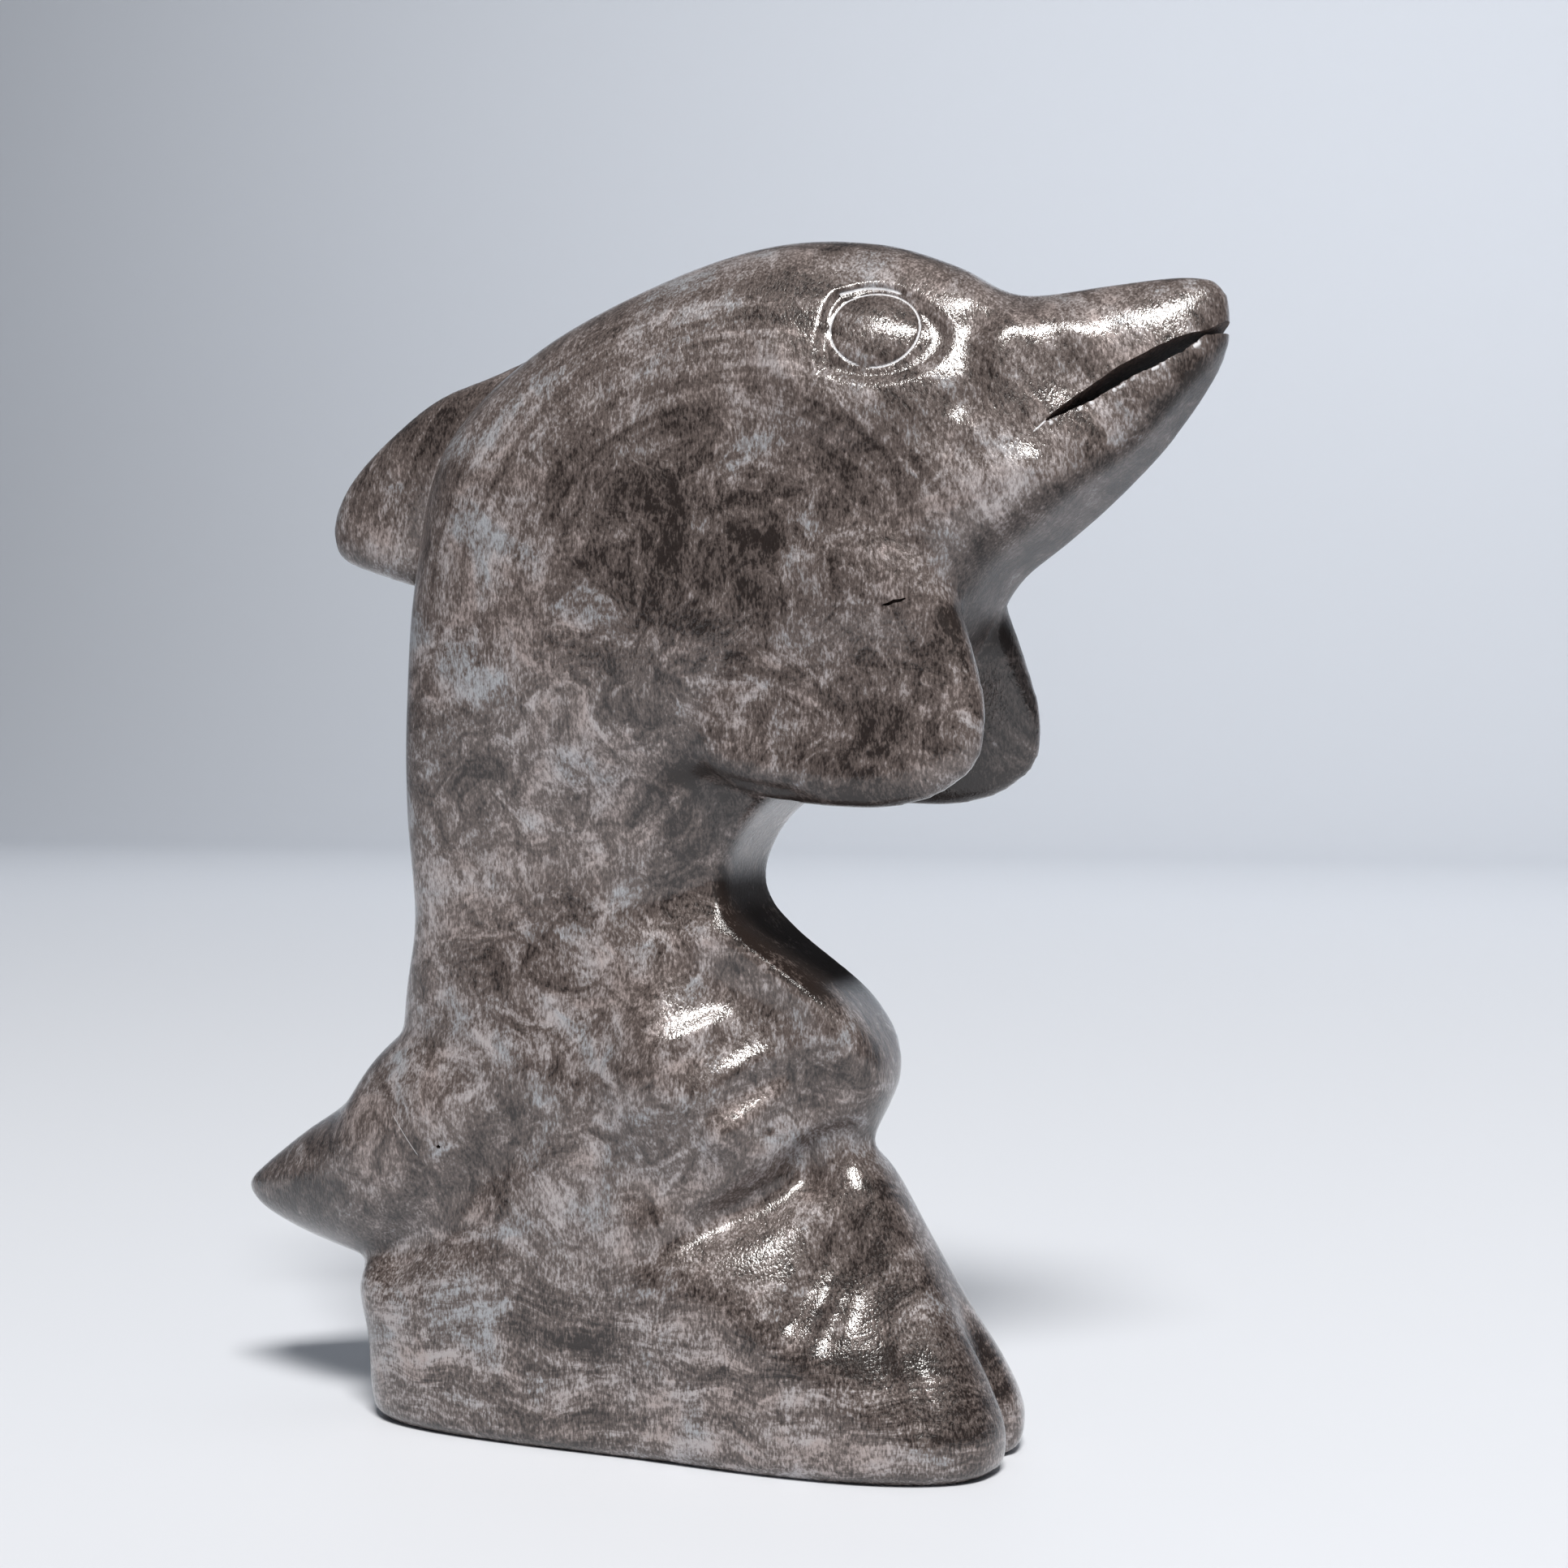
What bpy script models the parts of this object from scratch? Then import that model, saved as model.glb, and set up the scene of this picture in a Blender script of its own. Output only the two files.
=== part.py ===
"""Polished stone dolphin: one carving, standing upright on a wave and a rock base.

Metres, +Z up. +X points the way of the beak, and the carving is symmetric about the plane Y = 0.
The origin lies on the flat underside.
"""
import math

import bmesh
import bpy
import numpy as np
from mathutils import Matrix, Vector

# Driving sizes, in metres.
HEIGHT = 0.0853            # underside to the top of the head
BODY_WIDTH = 0.0196        # across the chest, its widest place
BASE_WIDTH = 0.0184        # across the rock base
FIN_GAP = 0.0084           # clear width between the breast fins at their roots
FIN_THICKNESS = 0.0040     # each breast fin
DORSAL_THICKNESS = 0.0052  # back fin at its root
MOUTH_WIDTH = 0.0010       # the sawn mouth, at the tip of the beak
MOUTH_LENGTH = 0.0123      # tip to corner of the mouth
EYE_RADIUS = 0.00293       # engraved ring round the eye
EYE_GROOVE = 0.0006        # width of that ring
EYE_RISE = 0.0009          # how far the eye stands out of the head
FRONT_GROOVE = 0.0013      # depth of the groove down the front of the base
FIN_SPLAY = math.radians(8.0)     # each breast fin turns outwards by this
MOUTH_SLOPE = math.radians(32.0)  # the mouth rises towards the tip

# The side drawing is this many units high, and a station keeps its place as a share of the height.
DRAWN_HEIGHT = 85.3
UNIT = HEIGHT / DRAWN_HEIGHT
HALF_BODY = BODY_WIDTH / 2
HALF_BASE = BASE_WIDTH / 2

RING_POINTS = 40           # points round each section
SPAN_STEPS = 5             # sections between two stations
RING_SEGMENTS = 28         # round the eye
RING_SIDES = 6             # round the ring's own thickness
VOXEL = 0.0006             # grain of the fused stone
SOFTENING = 0.5            # strength of each softening round
SOFT_ROUNDS = 5            # over the joints between forms
SETTLE_ROUNDS = 2          # over the thinned skin, so that no thin face folds
FACES_KEPT = 0.110         # share of the fused faces kept
STONE_COLOUR = (0.21, 0.18, 0.17, 1.0)

# A station is (rear x, rear z, front x, front z, rear half width, front half width, rear squareness,
# front squareness). Widths are shares of the half width of the body, of the base, or of half a fin's
# thickness.
TRUNK = (
    (-21.0, 8.0, 8.0, 8.0, 0.80, 0.80, 3.0, 3.0),
    (-21.5, 17.0, 13.8, 22.4, 0.86, 0.84, 3.0, 3.0),
    (-22.4, 24.0, 15.2, 27.0, 0.86, 0.82, 3.2, 3.2),
    (-22.0, 31.0, 12.5, 31.8, 0.83, 0.70, 3.4, 6.0),
    (-20.7, 37.0, 4.7, 38.0, 0.80, 0.63, 4.2, 11.0),
    (-21.2, 45.0, 5.4, 43.8, 0.85, 0.65, 4.2, 11.0),
    (-21.2, 53.0, 13.0, 50.0, 0.96, 0.88, 3.8, 5.0),
    (-20.6, 62.0, 19.0, 55.0, 1.00, 0.97, 3.6, 4.2),
    (-18.2, 71.5, 21.8, 59.2, 1.00, 0.96, 3.6, 5.0),
    (-11.3, 78.2, 23.4, 61.6, 0.95, 0.93, 3.2, 6.0),
    (-2.0, 82.8, 26.2, 63.8, 0.88, 0.89, 2.7, 7.0),
    (6.5, 85.1, 28.9, 66.0, 0.78, 0.83, 2.4, 8.0),
    (14.2, 84.8, 31.1, 67.7, 0.66, 0.71, 2.3, 8.0),
    (20.0, 82.8, 32.7, 69.0, 0.54, 0.57, 2.5, 8.0),
    (24.3, 80.5, 34.2, 70.6, 0.44, 0.50, 2.5, 8.0),
    (29.6, 80.7, 36.0, 72.8, 0.37, 0.43, 2.2, 7.0),
    (34.6, 81.1, 37.6, 74.8, 0.24, 0.29, 2.0, 5.0),
    (37.4, 80.8, 38.4, 76.2, 0.14, 0.12, 2.2, 3.0),
    (38.5, 79.6, 38.6, 77.4, 0.05, 0.05, 2.0, 2.0),
)
DORSAL_FIN = (
    (-9.0, 80.0, -4.0, 72.0, 1.0, 1.0, 2.4, 2.4),
    (-15.5, 77.6, -11.0, 70.0, 1.0, 1.0, 2.4, 2.4),
    (-20.5, 76.0, -16.0, 69.0, 0.95, 1.0, 2.4, 2.4),
    (-24.8, 73.2, -19.0, 67.0, 0.85, 1.0, 2.4, 2.4),
    (-28.2, 70.1, -20.5, 65.0, 0.75, 1.0, 2.4, 2.4),
    (-29.8, 66.9, -21.0, 63.5, 0.70, 1.0, 2.4, 2.4),
    (-29.4, 64.4, -21.5, 62.4, 0.55, 0.9, 2.4, 2.4),
    (-28.0, 63.5, -22.0, 61.6, 0.2, 0.5, 2.4, 2.4),
)
BREAST_FIN = (
    (8.0, 67.5, 18.5, 67.0, 1.5, 1.6, 3.0, 3.0),
    (5.0, 62.0, 20.6, 61.5, 1.7, 1.75, 3.2, 3.2),
    (4.0, 58.5, 21.8, 58.3, 1.5, 1.7, 2.8, 2.8),
    (3.0, 55.0, 22.9, 55.2, 1.3, 1.25, 2.8, 2.8),
    (2.5, 51.5, 23.9, 51.2, 1.1, 0.95, 2.6, 2.6),
    (3.5, 48.9, 23.3, 47.9, 1.0, 0.85, 2.6, 2.6),
    (5.6, 46.4, 20.4, 45.7, 0.9, 0.75, 2.6, 2.6),
    (9.2, 45.3, 16.8, 44.9, 0.4, 0.4, 2.6, 2.6),
)
FLUKE = (
    (-37.3, 16.2, -37.2, 15.2, 0.10, 0.10, 2.0, 2.0),
    (-35.2, 17.9, -35.4, 13.8, 0.25, 0.25, 2.0, 2.0),
    (-31.8, 20.4, -31.9, 12.4, 0.42, 0.42, 2.0, 2.0),
    (-27.6, 23.2, -27.7, 11.3, 0.60, 0.60, 2.1, 2.1),
    (-23.9, 27.6, -23.0, 10.3, 0.74, 0.76, 2.3, 2.3),
    (-17.0, 32.0, -16.0, 9.0, 0.84, 0.84, 2.6, 2.6),
    (-10.0, 30.0, -9.0, 9.0, 0.80, 0.80, 2.6, 2.6),
)
BASE = (
    (-23.8, -2.0, 22.8, -2.0, 0.88, 0.98, 3.6, 3.6),
    (-24.7, 2.0, 23.9, 2.2, 0.90, 0.98, 4.0, 4.0),
    (-25.0, 6.0, 22.7, 6.0, 0.90, 0.94, 4.0, 4.0),
    (-25.7, 10.4, 20.3, 10.2, 0.90, 0.92, 3.8, 3.8),
    (-22.0, 14.0, 17.6, 15.0, 0.90, 0.86, 3.4, 3.4),
    (-16.0, 17.0, 15.0, 19.6, 0.86, 0.80, 3.2, 3.2),
    (-8.0, 19.0, 12.5, 22.6, 0.78, 0.74, 3.0, 3.0),
)

# Hollows ground into both flanks: the deep end (x, z), the end where it runs out, half widths to the
# left and right of that way, depth. A depth below zero is a ridge.
HOLLOWS = (
    ((17.5, 24.6), (-1.5, 13.6), 2.1, 0.6, 2.2),     # crease under the wave
    ((-21.5, 12.4), (-7.0, 24.5), 2.4, 2.4, 1.4),    # between fluke and base
    ((4.6, 30.6), (-0.5, 27.6), 0.7, 0.7, -0.45),    # ripples of the wave
    ((7.9, 28.3), (1.0, 23.8), 0.7, 0.7, -0.60),
    ((9.3, 25.6), (3.0, 21.2), 0.7, 0.7, -0.70),
    ((12.2, 29.8), (7.5, 27.0), 0.6, 0.6, -0.15),
    ((13.0, 26.6), (8.0, 23.5), 0.6, 0.6, -0.15),
    ((22.8, 77.6), (23.0, 71.5), 0.8, 1.7, 0.60),    # between head and beak
    ((4.5, 40.5), (-4.0, 37.0), 2.2, 2.2, 1.2),      # front of the waist
    ((10.4, 10.5), (13.4, 17.0), 0.7, 0.7, 0.50),    # flutes of the rock
    ((12.6, 9.5), (14.6, 15.5), 0.7, 0.7, 0.55),
    ((19.3, 4.0), (17.0, 12.0), 0.7, 0.7, 0.50),
)
# Slopes of both flanks: a place (x, z) in the middle, the way it falls, its length,
# how much it lifts the high side and sinks the low side, and its reach from the place.
SLOPES = (
    ((5.6, 26.6), math.radians(31), 8.0, 1.5, 1.6, 8.5),      # wave up to the waist
    ((7.4, 24.2), math.radians(85), 4.0, 0.75, 0.0, 3.6),     # its lowest ripple
    ((10.5, 12.5), math.radians(57), 9.0, 0.7, 1.9, 14.0),    # rock up to its top
    ((15.0, 77.0), math.radians(57), 12.0, 0.5, 0.7, 7.0),    # cheek up to the crown
    ((26.8, 75.1), math.radians(-90), 5.0, 0.70, 0.0, 4.1),   # root of the beak, down to the mouth
    ((23.5, 72.0), math.radians(-85), 6.0, 0.0, 0.25, 4.5),   # cheek down to the jaw
    ((29.5, 71.0), math.radians(-90), 5.0, 0.0, 0.35, 4.0),   # jaw under the mouth's corner
    ((7.5, 46.9), math.radians(-100), 2.4, 0.0, 1.5, 5.0),    # breast fin down to its lower edge
)
EYE_PLACE = (16.0, 77.75)
EYE_BOSS = (4.6, 4.2)      # reach of the swelling round the eye, along and across the head
MOUTH_TIP = (38.2, 77.35)
CORNER_SHARE = 0.3         # the mouth's width at its corner, as a share of its width at the tip
GROOVE_TOP = 11.5          # the front groove starts here
GROOVE_FADE = 5.5          # and is at its full depth this much lower
GROOVE_HALF_WIDTH = 1.1


def clear_scene():
    """Start from an empty scene."""
    for item in list(bpy.data.objects):
        bpy.data.objects.remove(item, do_unlink=True)


def new_collection(name):
    """A collection under the scene's own."""
    collection = bpy.data.collections.new(name)
    bpy.context.scene.collection.children.link(collection)
    return collection


def new_object(name, shape, collection):
    """An object from a bmesh, which is freed."""
    bmesh.ops.recalc_face_normals(shape, faces=shape.faces)
    mesh = bpy.data.meshes.new(name)
    shape.to_mesh(mesh)
    shape.free()
    item = bpy.data.objects.new(name, mesh)
    collection.objects.link(item)
    return item


def between(stations):
    """Sections on a smooth curve (Catmull-Rom) through the stations."""
    rows = np.array(stations, dtype=float)
    ends = np.vstack([2 * rows[0] - rows[1], rows, 2 * rows[-1] - rows[-2]])
    sections = []
    for span in range(len(rows) - 1):
        before, start, stop, after = ends[span:span + 4]
        for step in range(SPAN_STEPS):
            t = step / SPAN_STEPS
            sections.append(0.5 * (2 * start + (stop - before) * t
                                   + (2 * before - 5 * start + 4 * stop - after) * t ** 2
                                   + (3 * start - before - 3 * stop + after) * t ** 3))
    sections.append(rows[-1])
    return np.array(sections)


def section_ring(section, half_width, middle):
    """One rounded-square ring across a section: s runs rear to front, side from flank to flank."""
    rear_x, rear_z, front_x, front_z, rear_share, front_share, rear_square, front_square = section
    angle = np.linspace(0.0, 2 * math.pi, RING_POINTS, endpoint=False)
    power = 2.0 / np.where(np.cos(angle) > 0, front_square, rear_square)
    s = np.sign(np.cos(angle)) * np.abs(np.cos(angle)) ** power
    side = np.sign(np.sin(angle)) * np.abs(np.sin(angle)) ** power
    width = half_width * (rear_share * (1 - s) + front_share * (1 + s)) / 2
    x = UNIT * (rear_x * (1 - s) + front_x * (1 + s)) / 2
    z = UNIT * (rear_z * (1 - s) + front_z * (1 + s)) / 2
    return np.column_stack([x, middle + width * side, z])


def loft(name, stations, half_width, collection, middle=0.0):
    """A closed form carried through its stations."""
    shape = bmesh.new()
    rings = []
    for section in between(stations):
        rings.append([shape.verts.new(point) for point in section_ring(section, half_width, middle)])
    for lower, upper in zip(rings, rings[1:]):
        for i in range(RING_POINTS):
            j = (i + 1) % RING_POINTS
            shape.faces.new((lower[i], lower[j], upper[j], upper[i]))
    shape.faces.new(rings[0])
    shape.faces.new(rings[-1])
    return new_object(name, shape, collection)


def splay(fin, side):
    """Turn a breast fin outwards about its root."""
    pivot = Matrix.Translation((0, side * FIN_GAP / 2, UNIT * BREAST_FIN[1][1]))
    fin.data.transform(pivot @ Matrix.Rotation(side * FIN_SPLAY, 4, "X") @ pivot.inverted())


def join(forms, name):
    """Put the overlapping forms into one object."""
    with bpy.context.temp_override(active_object=forms[0], object=forms[0],
                                   selected_objects=forms, selected_editable_objects=forms):
        bpy.ops.object.join()
    forms[0].name = name
    forms[0].data.name = name
    return forms[0]


def cutter(form):
    """Keep a form as a cutter only."""
    form.hide_render = True
    form.display_type = "WIRE"
    return form


def cut(piece, tool):
    """Take a cutter out of the piece."""
    boolean = piece.modifiers.new(tool.name, "BOOLEAN")
    boolean.operation = "DIFFERENCE"
    boolean.solver = "EXACT"
    boolean.object = tool


def floor_block(collection):
    """Cutter that leaves the underside flat at Z = 0."""
    size = 2 * HEIGHT
    shape = bmesh.new()
    bmesh.ops.create_cube(shape, size=size, matrix=Matrix.Translation((0, 0, -size / 2)))
    return cutter(new_object("floor_cut", shape, collection))


def mouth_blade(collection):
    """Cutter for the mouth: a thin wedge right through the beak, narrow at the mouth's corner."""
    shape = bmesh.new()
    bmesh.ops.create_cube(shape, size=1.0)
    for vert in shape.verts:
        past_tip = vert.co.x > 0
        vert.co.x = BODY_WIDTH / 4 if past_tip else -MOUTH_LENGTH
        vert.co.y *= BODY_WIDTH
        vert.co.z *= MOUTH_WIDTH * (1.0 if past_tip else CORNER_SHARE)
    place = Matrix.Translation((UNIT * MOUTH_TIP[0], 0, UNIT * MOUTH_TIP[1]))
    bmesh.ops.transform(shape, matrix=place @ Matrix.Rotation(-MOUTH_SLOPE, 4, "Y"), verts=shape.verts)
    return cutter(new_object("mouth_cut", shape, collection))


def eye_ring(skin, side, collection):
    """Cutter for the ring engraved round one eye: a torus bent to follow the skin."""
    start = Vector((UNIT * EYE_PLACE[0], side * BODY_WIDTH, UNIT * EYE_PLACE[1]))
    middle, normal = skin.ray_cast(start, Vector((0, -side, 0)))[1:3]
    frame = Matrix.Translation(middle) @ normal.to_track_quat("Z", "Y").to_matrix().to_4x4()
    bpy.ops.mesh.primitive_torus_add(major_radius=EYE_RADIUS, minor_radius=EYE_GROOVE / 2,
                                     major_segments=RING_SEGMENTS, minor_segments=RING_SIDES)
    ring = bpy.context.active_object
    ring.name = "eye_ring_near" if side < 0 else "eye_ring_far"
    for vert in ring.data.vertices:
        spoke = Vector((vert.co.x, vert.co.y, 0)).normalized() * EYE_RADIUS
        above = frame @ (spoke + Vector((0, 0, EYE_RADIUS)))
        on_skin = skin.ray_cast(above, -normal)[1]
        vert.co.z += (frame.inverted() @ on_skin).z
    ring.matrix_world = frame
    for owner in list(ring.users_collection):
        owner.objects.unlink(ring)
    collection.objects.link(ring)
    return cutter(ring)


def stone_material():
    """Dark polished stone."""
    material = bpy.data.materials.new("polished_stone")
    material.use_nodes = True
    shader = material.node_tree.nodes["Principled BSDF"]
    shader.inputs["Base Color"].default_value = STONE_COLOUR
    shader.inputs["Roughness"].default_value = 0.15
    return material


def hollow_depth(x, z):
    """How far the flanks are ground down at a place of the side drawing."""
    depth = np.zeros_like(x)
    for (start_x, start_z), (end_x, end_z), left_width, right_width, full in HOLLOWS:
        run = np.array([end_x - start_x, end_z - start_z])
        along = ((x - start_x) * run[0] + (z - start_z) * run[1]) / (run @ run)
        along = np.clip(along, 0.0, 1.0)
        across = x - start_x - along * run[0]
        up = z - start_z - along * run[1]
        width = np.where(run[0] * up > run[1] * across, left_width, right_width)
        depth += full * (1.0 - along ** 2) * np.exp(-(np.hypot(across, up) / width) ** 2)
    return depth


def slope_depth(x, z):
    """Depth of the slopes: each goes smoothly from a lift to a sink along its fall, inside a soft reach."""
    depth = np.zeros_like(x)
    for (place_x, place_z), way, length, lift, sink, reach in SLOPES:
        across = x - place_x
        up = z - place_z
        fall = across * math.cos(way) + up * math.sin(way)
        share = smooth_step(fall / length + 0.5)
        depth += ((lift + sink) * share - lift) * smooth_step(2.0 - 1.6 * np.hypot(across, up) / reach)
    return depth


def smooth_step(value):
    """From 0 to 1 as the value goes from 0 to 1, by 3 v squared less 2 v cubed."""
    v = np.clip(value, 0.0, 1.0)
    return v * v * (3 - 2 * v)


def eye_swelling(x, z):
    """Rise of the soft boss that carries the eye."""
    reach = np.hypot((x - EYE_PLACE[0]) / EYE_BOSS[0], (z - EYE_PLACE[1]) / EYE_BOSS[1])
    return EYE_RISE * np.clip(1.0 - reach ** 2, 0.0, 1.0) ** 1.5


def front_groove(x, y, z):
    """Depth of the groove down the middle of the base's front."""
    down = np.clip((GROOVE_TOP - z) / GROOVE_FADE, 0.0, 1.0)
    return FRONT_GROOVE * down * np.exp(-(y / GROOVE_HALF_WIDTH) ** 2) * (x > 0)


def grind(mesh):
    """Move the skin in or out along its normals: hollows, slopes, eye and front groove."""
    count = len(mesh.vertices)
    places = np.empty(count * 3)
    normals = np.empty(count * 3)
    mesh.vertices.foreach_get("co", places)
    mesh.vertices.foreach_get("normal", normals)
    places = places.reshape(-1, 3)
    normals = normals.reshape(-1, 3)
    x, y, z = places.T / UNIT
    flank = np.abs(normals[:, 1])
    ground = UNIT * (hollow_depth(x, z) + slope_depth(x, z))
    move = flank * (eye_swelling(x, z) - ground) - front_groove(x, y, z)
    places += normals * move[:, None]
    mesh.vertices.foreach_set("co", places.ravel())
    mesh.update()


def fused(forms, name, collection):
    """Melt the overlapping forms into one skin and grind it."""
    rough = join(forms, name + "_rough")
    remesh = rough.modifiers.new("fuse", "REMESH")
    remesh.mode = "VOXEL"
    remesh.voxel_size = VOXEL
    graph = bpy.context.evaluated_depsgraph_get()
    mesh = bpy.data.meshes.new_from_object(rough.evaluated_get(graph))
    bpy.data.objects.remove(rough, do_unlink=True)
    grind(mesh)
    mesh.name = name
    stone = bpy.data.objects.new(name, mesh)
    collection.objects.link(stone)
    return stone


def soften(piece, rounds):
    """Relax the skin a little."""
    smooth = piece.modifiers.new("soften", "SMOOTH")
    smooth.factor = SOFTENING
    smooth.iterations = rounds


def carve(parts, cutters):
    """Fuse the forms, soften them, and make the cuts."""
    fin_middle = FIN_GAP / 2 + FIN_THICKNESS / 2
    fins = [loft("fin", BREAST_FIN, FIN_THICKNESS / 2, parts, side * fin_middle) for side in (-1, 1)]
    for fin, side in zip(fins, (-1, 1)):
        splay(fin, side)
    forms = [
        loft("trunk", TRUNK, HALF_BODY, parts),
        loft("dorsal", DORSAL_FIN, DORSAL_THICKNESS / 2, parts),
        loft("fluke", FLUKE, HALF_BODY, parts),
        loft("base", BASE, HALF_BASE, parts),
    ]
    stone = fused(forms + fins, "dolphin_carving", parts)
    soften(stone, SOFT_ROUNDS)
    thin = stone.modifiers.new("thin", "DECIMATE")
    thin.ratio = FACES_KEPT
    soften(stone, SETTLE_ROUNDS)
    cut(stone, floor_block(cutters))
    cut(stone, mouth_blade(cutters))
    skin = stone.evaluated_get(bpy.context.evaluated_depsgraph_get())
    for ring in [eye_ring(skin, side, cutters) for side in (-1, 1)]:
        cut(stone, ring)
    return stone


clear_scene()
figure = new_collection("dolphin")
tools = new_collection("cutters")
carving = carve(figure, tools)
carving.data.materials.append(stone_material())
carving.data.shade_smooth()
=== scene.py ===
"""The polished stone of the dolphin carving: its fine skin, its carved relief and its looks.

Metres, +Z up, +X towards the beak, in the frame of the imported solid.
"""
import math

import bmesh
import bpy
import numpy as np
from mathutils import Matrix, Vector
from mathutils.bvhtree import BVHTree


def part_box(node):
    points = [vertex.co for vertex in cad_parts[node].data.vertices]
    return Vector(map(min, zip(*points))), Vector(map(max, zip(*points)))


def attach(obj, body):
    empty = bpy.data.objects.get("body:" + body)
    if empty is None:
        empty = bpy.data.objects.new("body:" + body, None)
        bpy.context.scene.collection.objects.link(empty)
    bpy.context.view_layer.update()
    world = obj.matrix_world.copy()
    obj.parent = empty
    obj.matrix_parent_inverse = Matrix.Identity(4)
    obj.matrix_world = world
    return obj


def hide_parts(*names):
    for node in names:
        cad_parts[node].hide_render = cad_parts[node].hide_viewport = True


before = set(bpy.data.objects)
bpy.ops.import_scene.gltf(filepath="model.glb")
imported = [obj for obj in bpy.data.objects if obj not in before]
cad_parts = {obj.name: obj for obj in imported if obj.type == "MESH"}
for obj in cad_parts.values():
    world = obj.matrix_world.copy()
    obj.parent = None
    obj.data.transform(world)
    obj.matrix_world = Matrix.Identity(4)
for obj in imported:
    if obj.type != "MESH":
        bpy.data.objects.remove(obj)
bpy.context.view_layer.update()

# The side drawing is in units; the carved stone is this many units high, and the frame gives their size.
CARVED_HEIGHT = 85.17
LOW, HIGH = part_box("dolphin_carving")
UNIT = (HIGH.z - LOW.z) / CARVED_HEIGHT

HALF_BODY = 9.8            # half the chest's width, in units as all that follows
HALF_BASE = 9.2
FIN_GAP = 8.4              # clear width between the breast fins at their roots
FIN_THICKNESS = 4.0
DORSAL_THICKNESS = 5.2
FIN_SPLAY = math.radians(8.0)
FIN_TURN = 62.0            # height about which the breast fins turn outwards

# A station is (rear x, rear z, front x, front z, rear half width, front half width, rear squareness,
# front squareness).
TRUNK = (
    (-21.0, 8.0, 8.0, 8.0, 0.80, 0.80, 3.0, 3.0),
    (-21.5, 17.0, 13.8, 22.4, 0.86, 0.84, 3.0, 3.0),
    (-22.4, 24.0, 15.2, 27.0, 0.86, 0.82, 3.2, 3.2),
    (-22.0, 31.0, 12.5, 31.8, 0.83, 0.70, 3.4, 6.0),
    (-20.7, 37.0, 4.7, 38.0, 0.80, 0.63, 4.2, 11.0),
    (-21.2, 45.0, 5.4, 43.8, 0.85, 0.65, 4.2, 11.0),
    (-21.2, 53.0, 13.0, 50.0, 0.96, 0.88, 3.8, 5.0),
    (-20.6, 62.0, 19.0, 55.0, 1.00, 0.97, 3.6, 4.2),
    (-18.2, 71.5, 21.8, 59.2, 1.00, 0.96, 3.6, 5.0),
    (-11.3, 78.2, 23.4, 61.6, 0.95, 0.93, 3.2, 6.0),
    (-2.0, 82.8, 26.2, 63.8, 0.88, 0.89, 2.7, 7.0),
    (6.5, 85.1, 28.9, 66.0, 0.78, 0.83, 2.4, 8.0),
    (14.2, 84.8, 31.1, 67.7, 0.66, 0.71, 2.3, 8.0),
    (20.0, 82.8, 32.7, 69.0, 0.54, 0.57, 2.5, 8.0),
    (24.3, 80.5, 34.2, 70.6, 0.44, 0.50, 2.5, 8.0),
    (29.6, 80.7, 36.0, 72.8, 0.37, 0.43, 2.2, 7.0),
    (34.6, 81.1, 37.6, 74.8, 0.24, 0.29, 2.0, 5.0),
    (37.4, 80.8, 38.4, 76.2, 0.14, 0.12, 2.2, 3.0),
    (38.5, 79.6, 38.6, 77.4, 0.05, 0.05, 2.0, 2.0),
)
DORSAL_FIN = (
    (-9.0, 80.0, -4.0, 72.0, 1.0, 1.0, 2.4, 2.4),
    (-15.5, 77.6, -11.0, 70.0, 1.0, 1.0, 2.4, 2.4),
    (-20.5, 76.0, -16.0, 69.0, 0.95, 1.0, 2.4, 2.4),
    (-24.8, 73.2, -19.0, 67.0, 0.85, 1.0, 2.4, 2.4),
    (-28.2, 70.1, -20.5, 65.0, 0.75, 1.0, 2.4, 2.4),
    (-29.8, 66.9, -21.0, 63.5, 0.70, 1.0, 2.4, 2.4),
    (-29.4, 64.4, -21.5, 62.4, 0.55, 0.9, 2.4, 2.4),
    (-28.0, 63.5, -22.0, 61.6, 0.2, 0.5, 2.4, 2.4),
)
BREAST_FIN = (
    (8.0, 67.5, 18.5, 67.0, 1.5, 1.6, 3.0, 3.0),
    (5.0, 62.0, 20.6, 61.5, 1.7, 1.75, 3.2, 3.2),
    (4.0, 58.5, 21.8, 58.3, 1.5, 1.7, 2.8, 2.8),
    (3.0, 55.0, 22.9, 55.2, 1.3, 1.25, 2.8, 2.8),
    (2.5, 51.5, 23.9, 51.2, 1.1, 0.95, 2.6, 2.6),
    (3.5, 48.9, 23.3, 47.9, 1.0, 0.85, 2.6, 2.6),
    (5.6, 46.4, 20.4, 45.7, 0.9, 0.75, 2.6, 2.6),
    (9.2, 45.3, 16.8, 44.9, 0.4, 0.4, 2.6, 2.6),
)
FLUKE = (
    (-37.3, 16.2, -37.2, 15.2, 0.10, 0.10, 2.0, 2.0),
    (-35.2, 17.9, -35.4, 13.8, 0.25, 0.25, 2.0, 2.0),
    (-31.8, 20.4, -31.9, 12.4, 0.42, 0.42, 2.0, 2.0),
    (-27.6, 23.2, -27.7, 11.3, 0.60, 0.60, 2.1, 2.1),
    (-23.9, 27.6, -23.0, 10.3, 0.74, 0.76, 2.3, 2.3),
    (-17.0, 32.0, -16.0, 9.0, 0.84, 0.84, 2.6, 2.6),
    (-10.0, 30.0, -9.0, 9.0, 0.80, 0.80, 2.6, 2.6),
)
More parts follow.
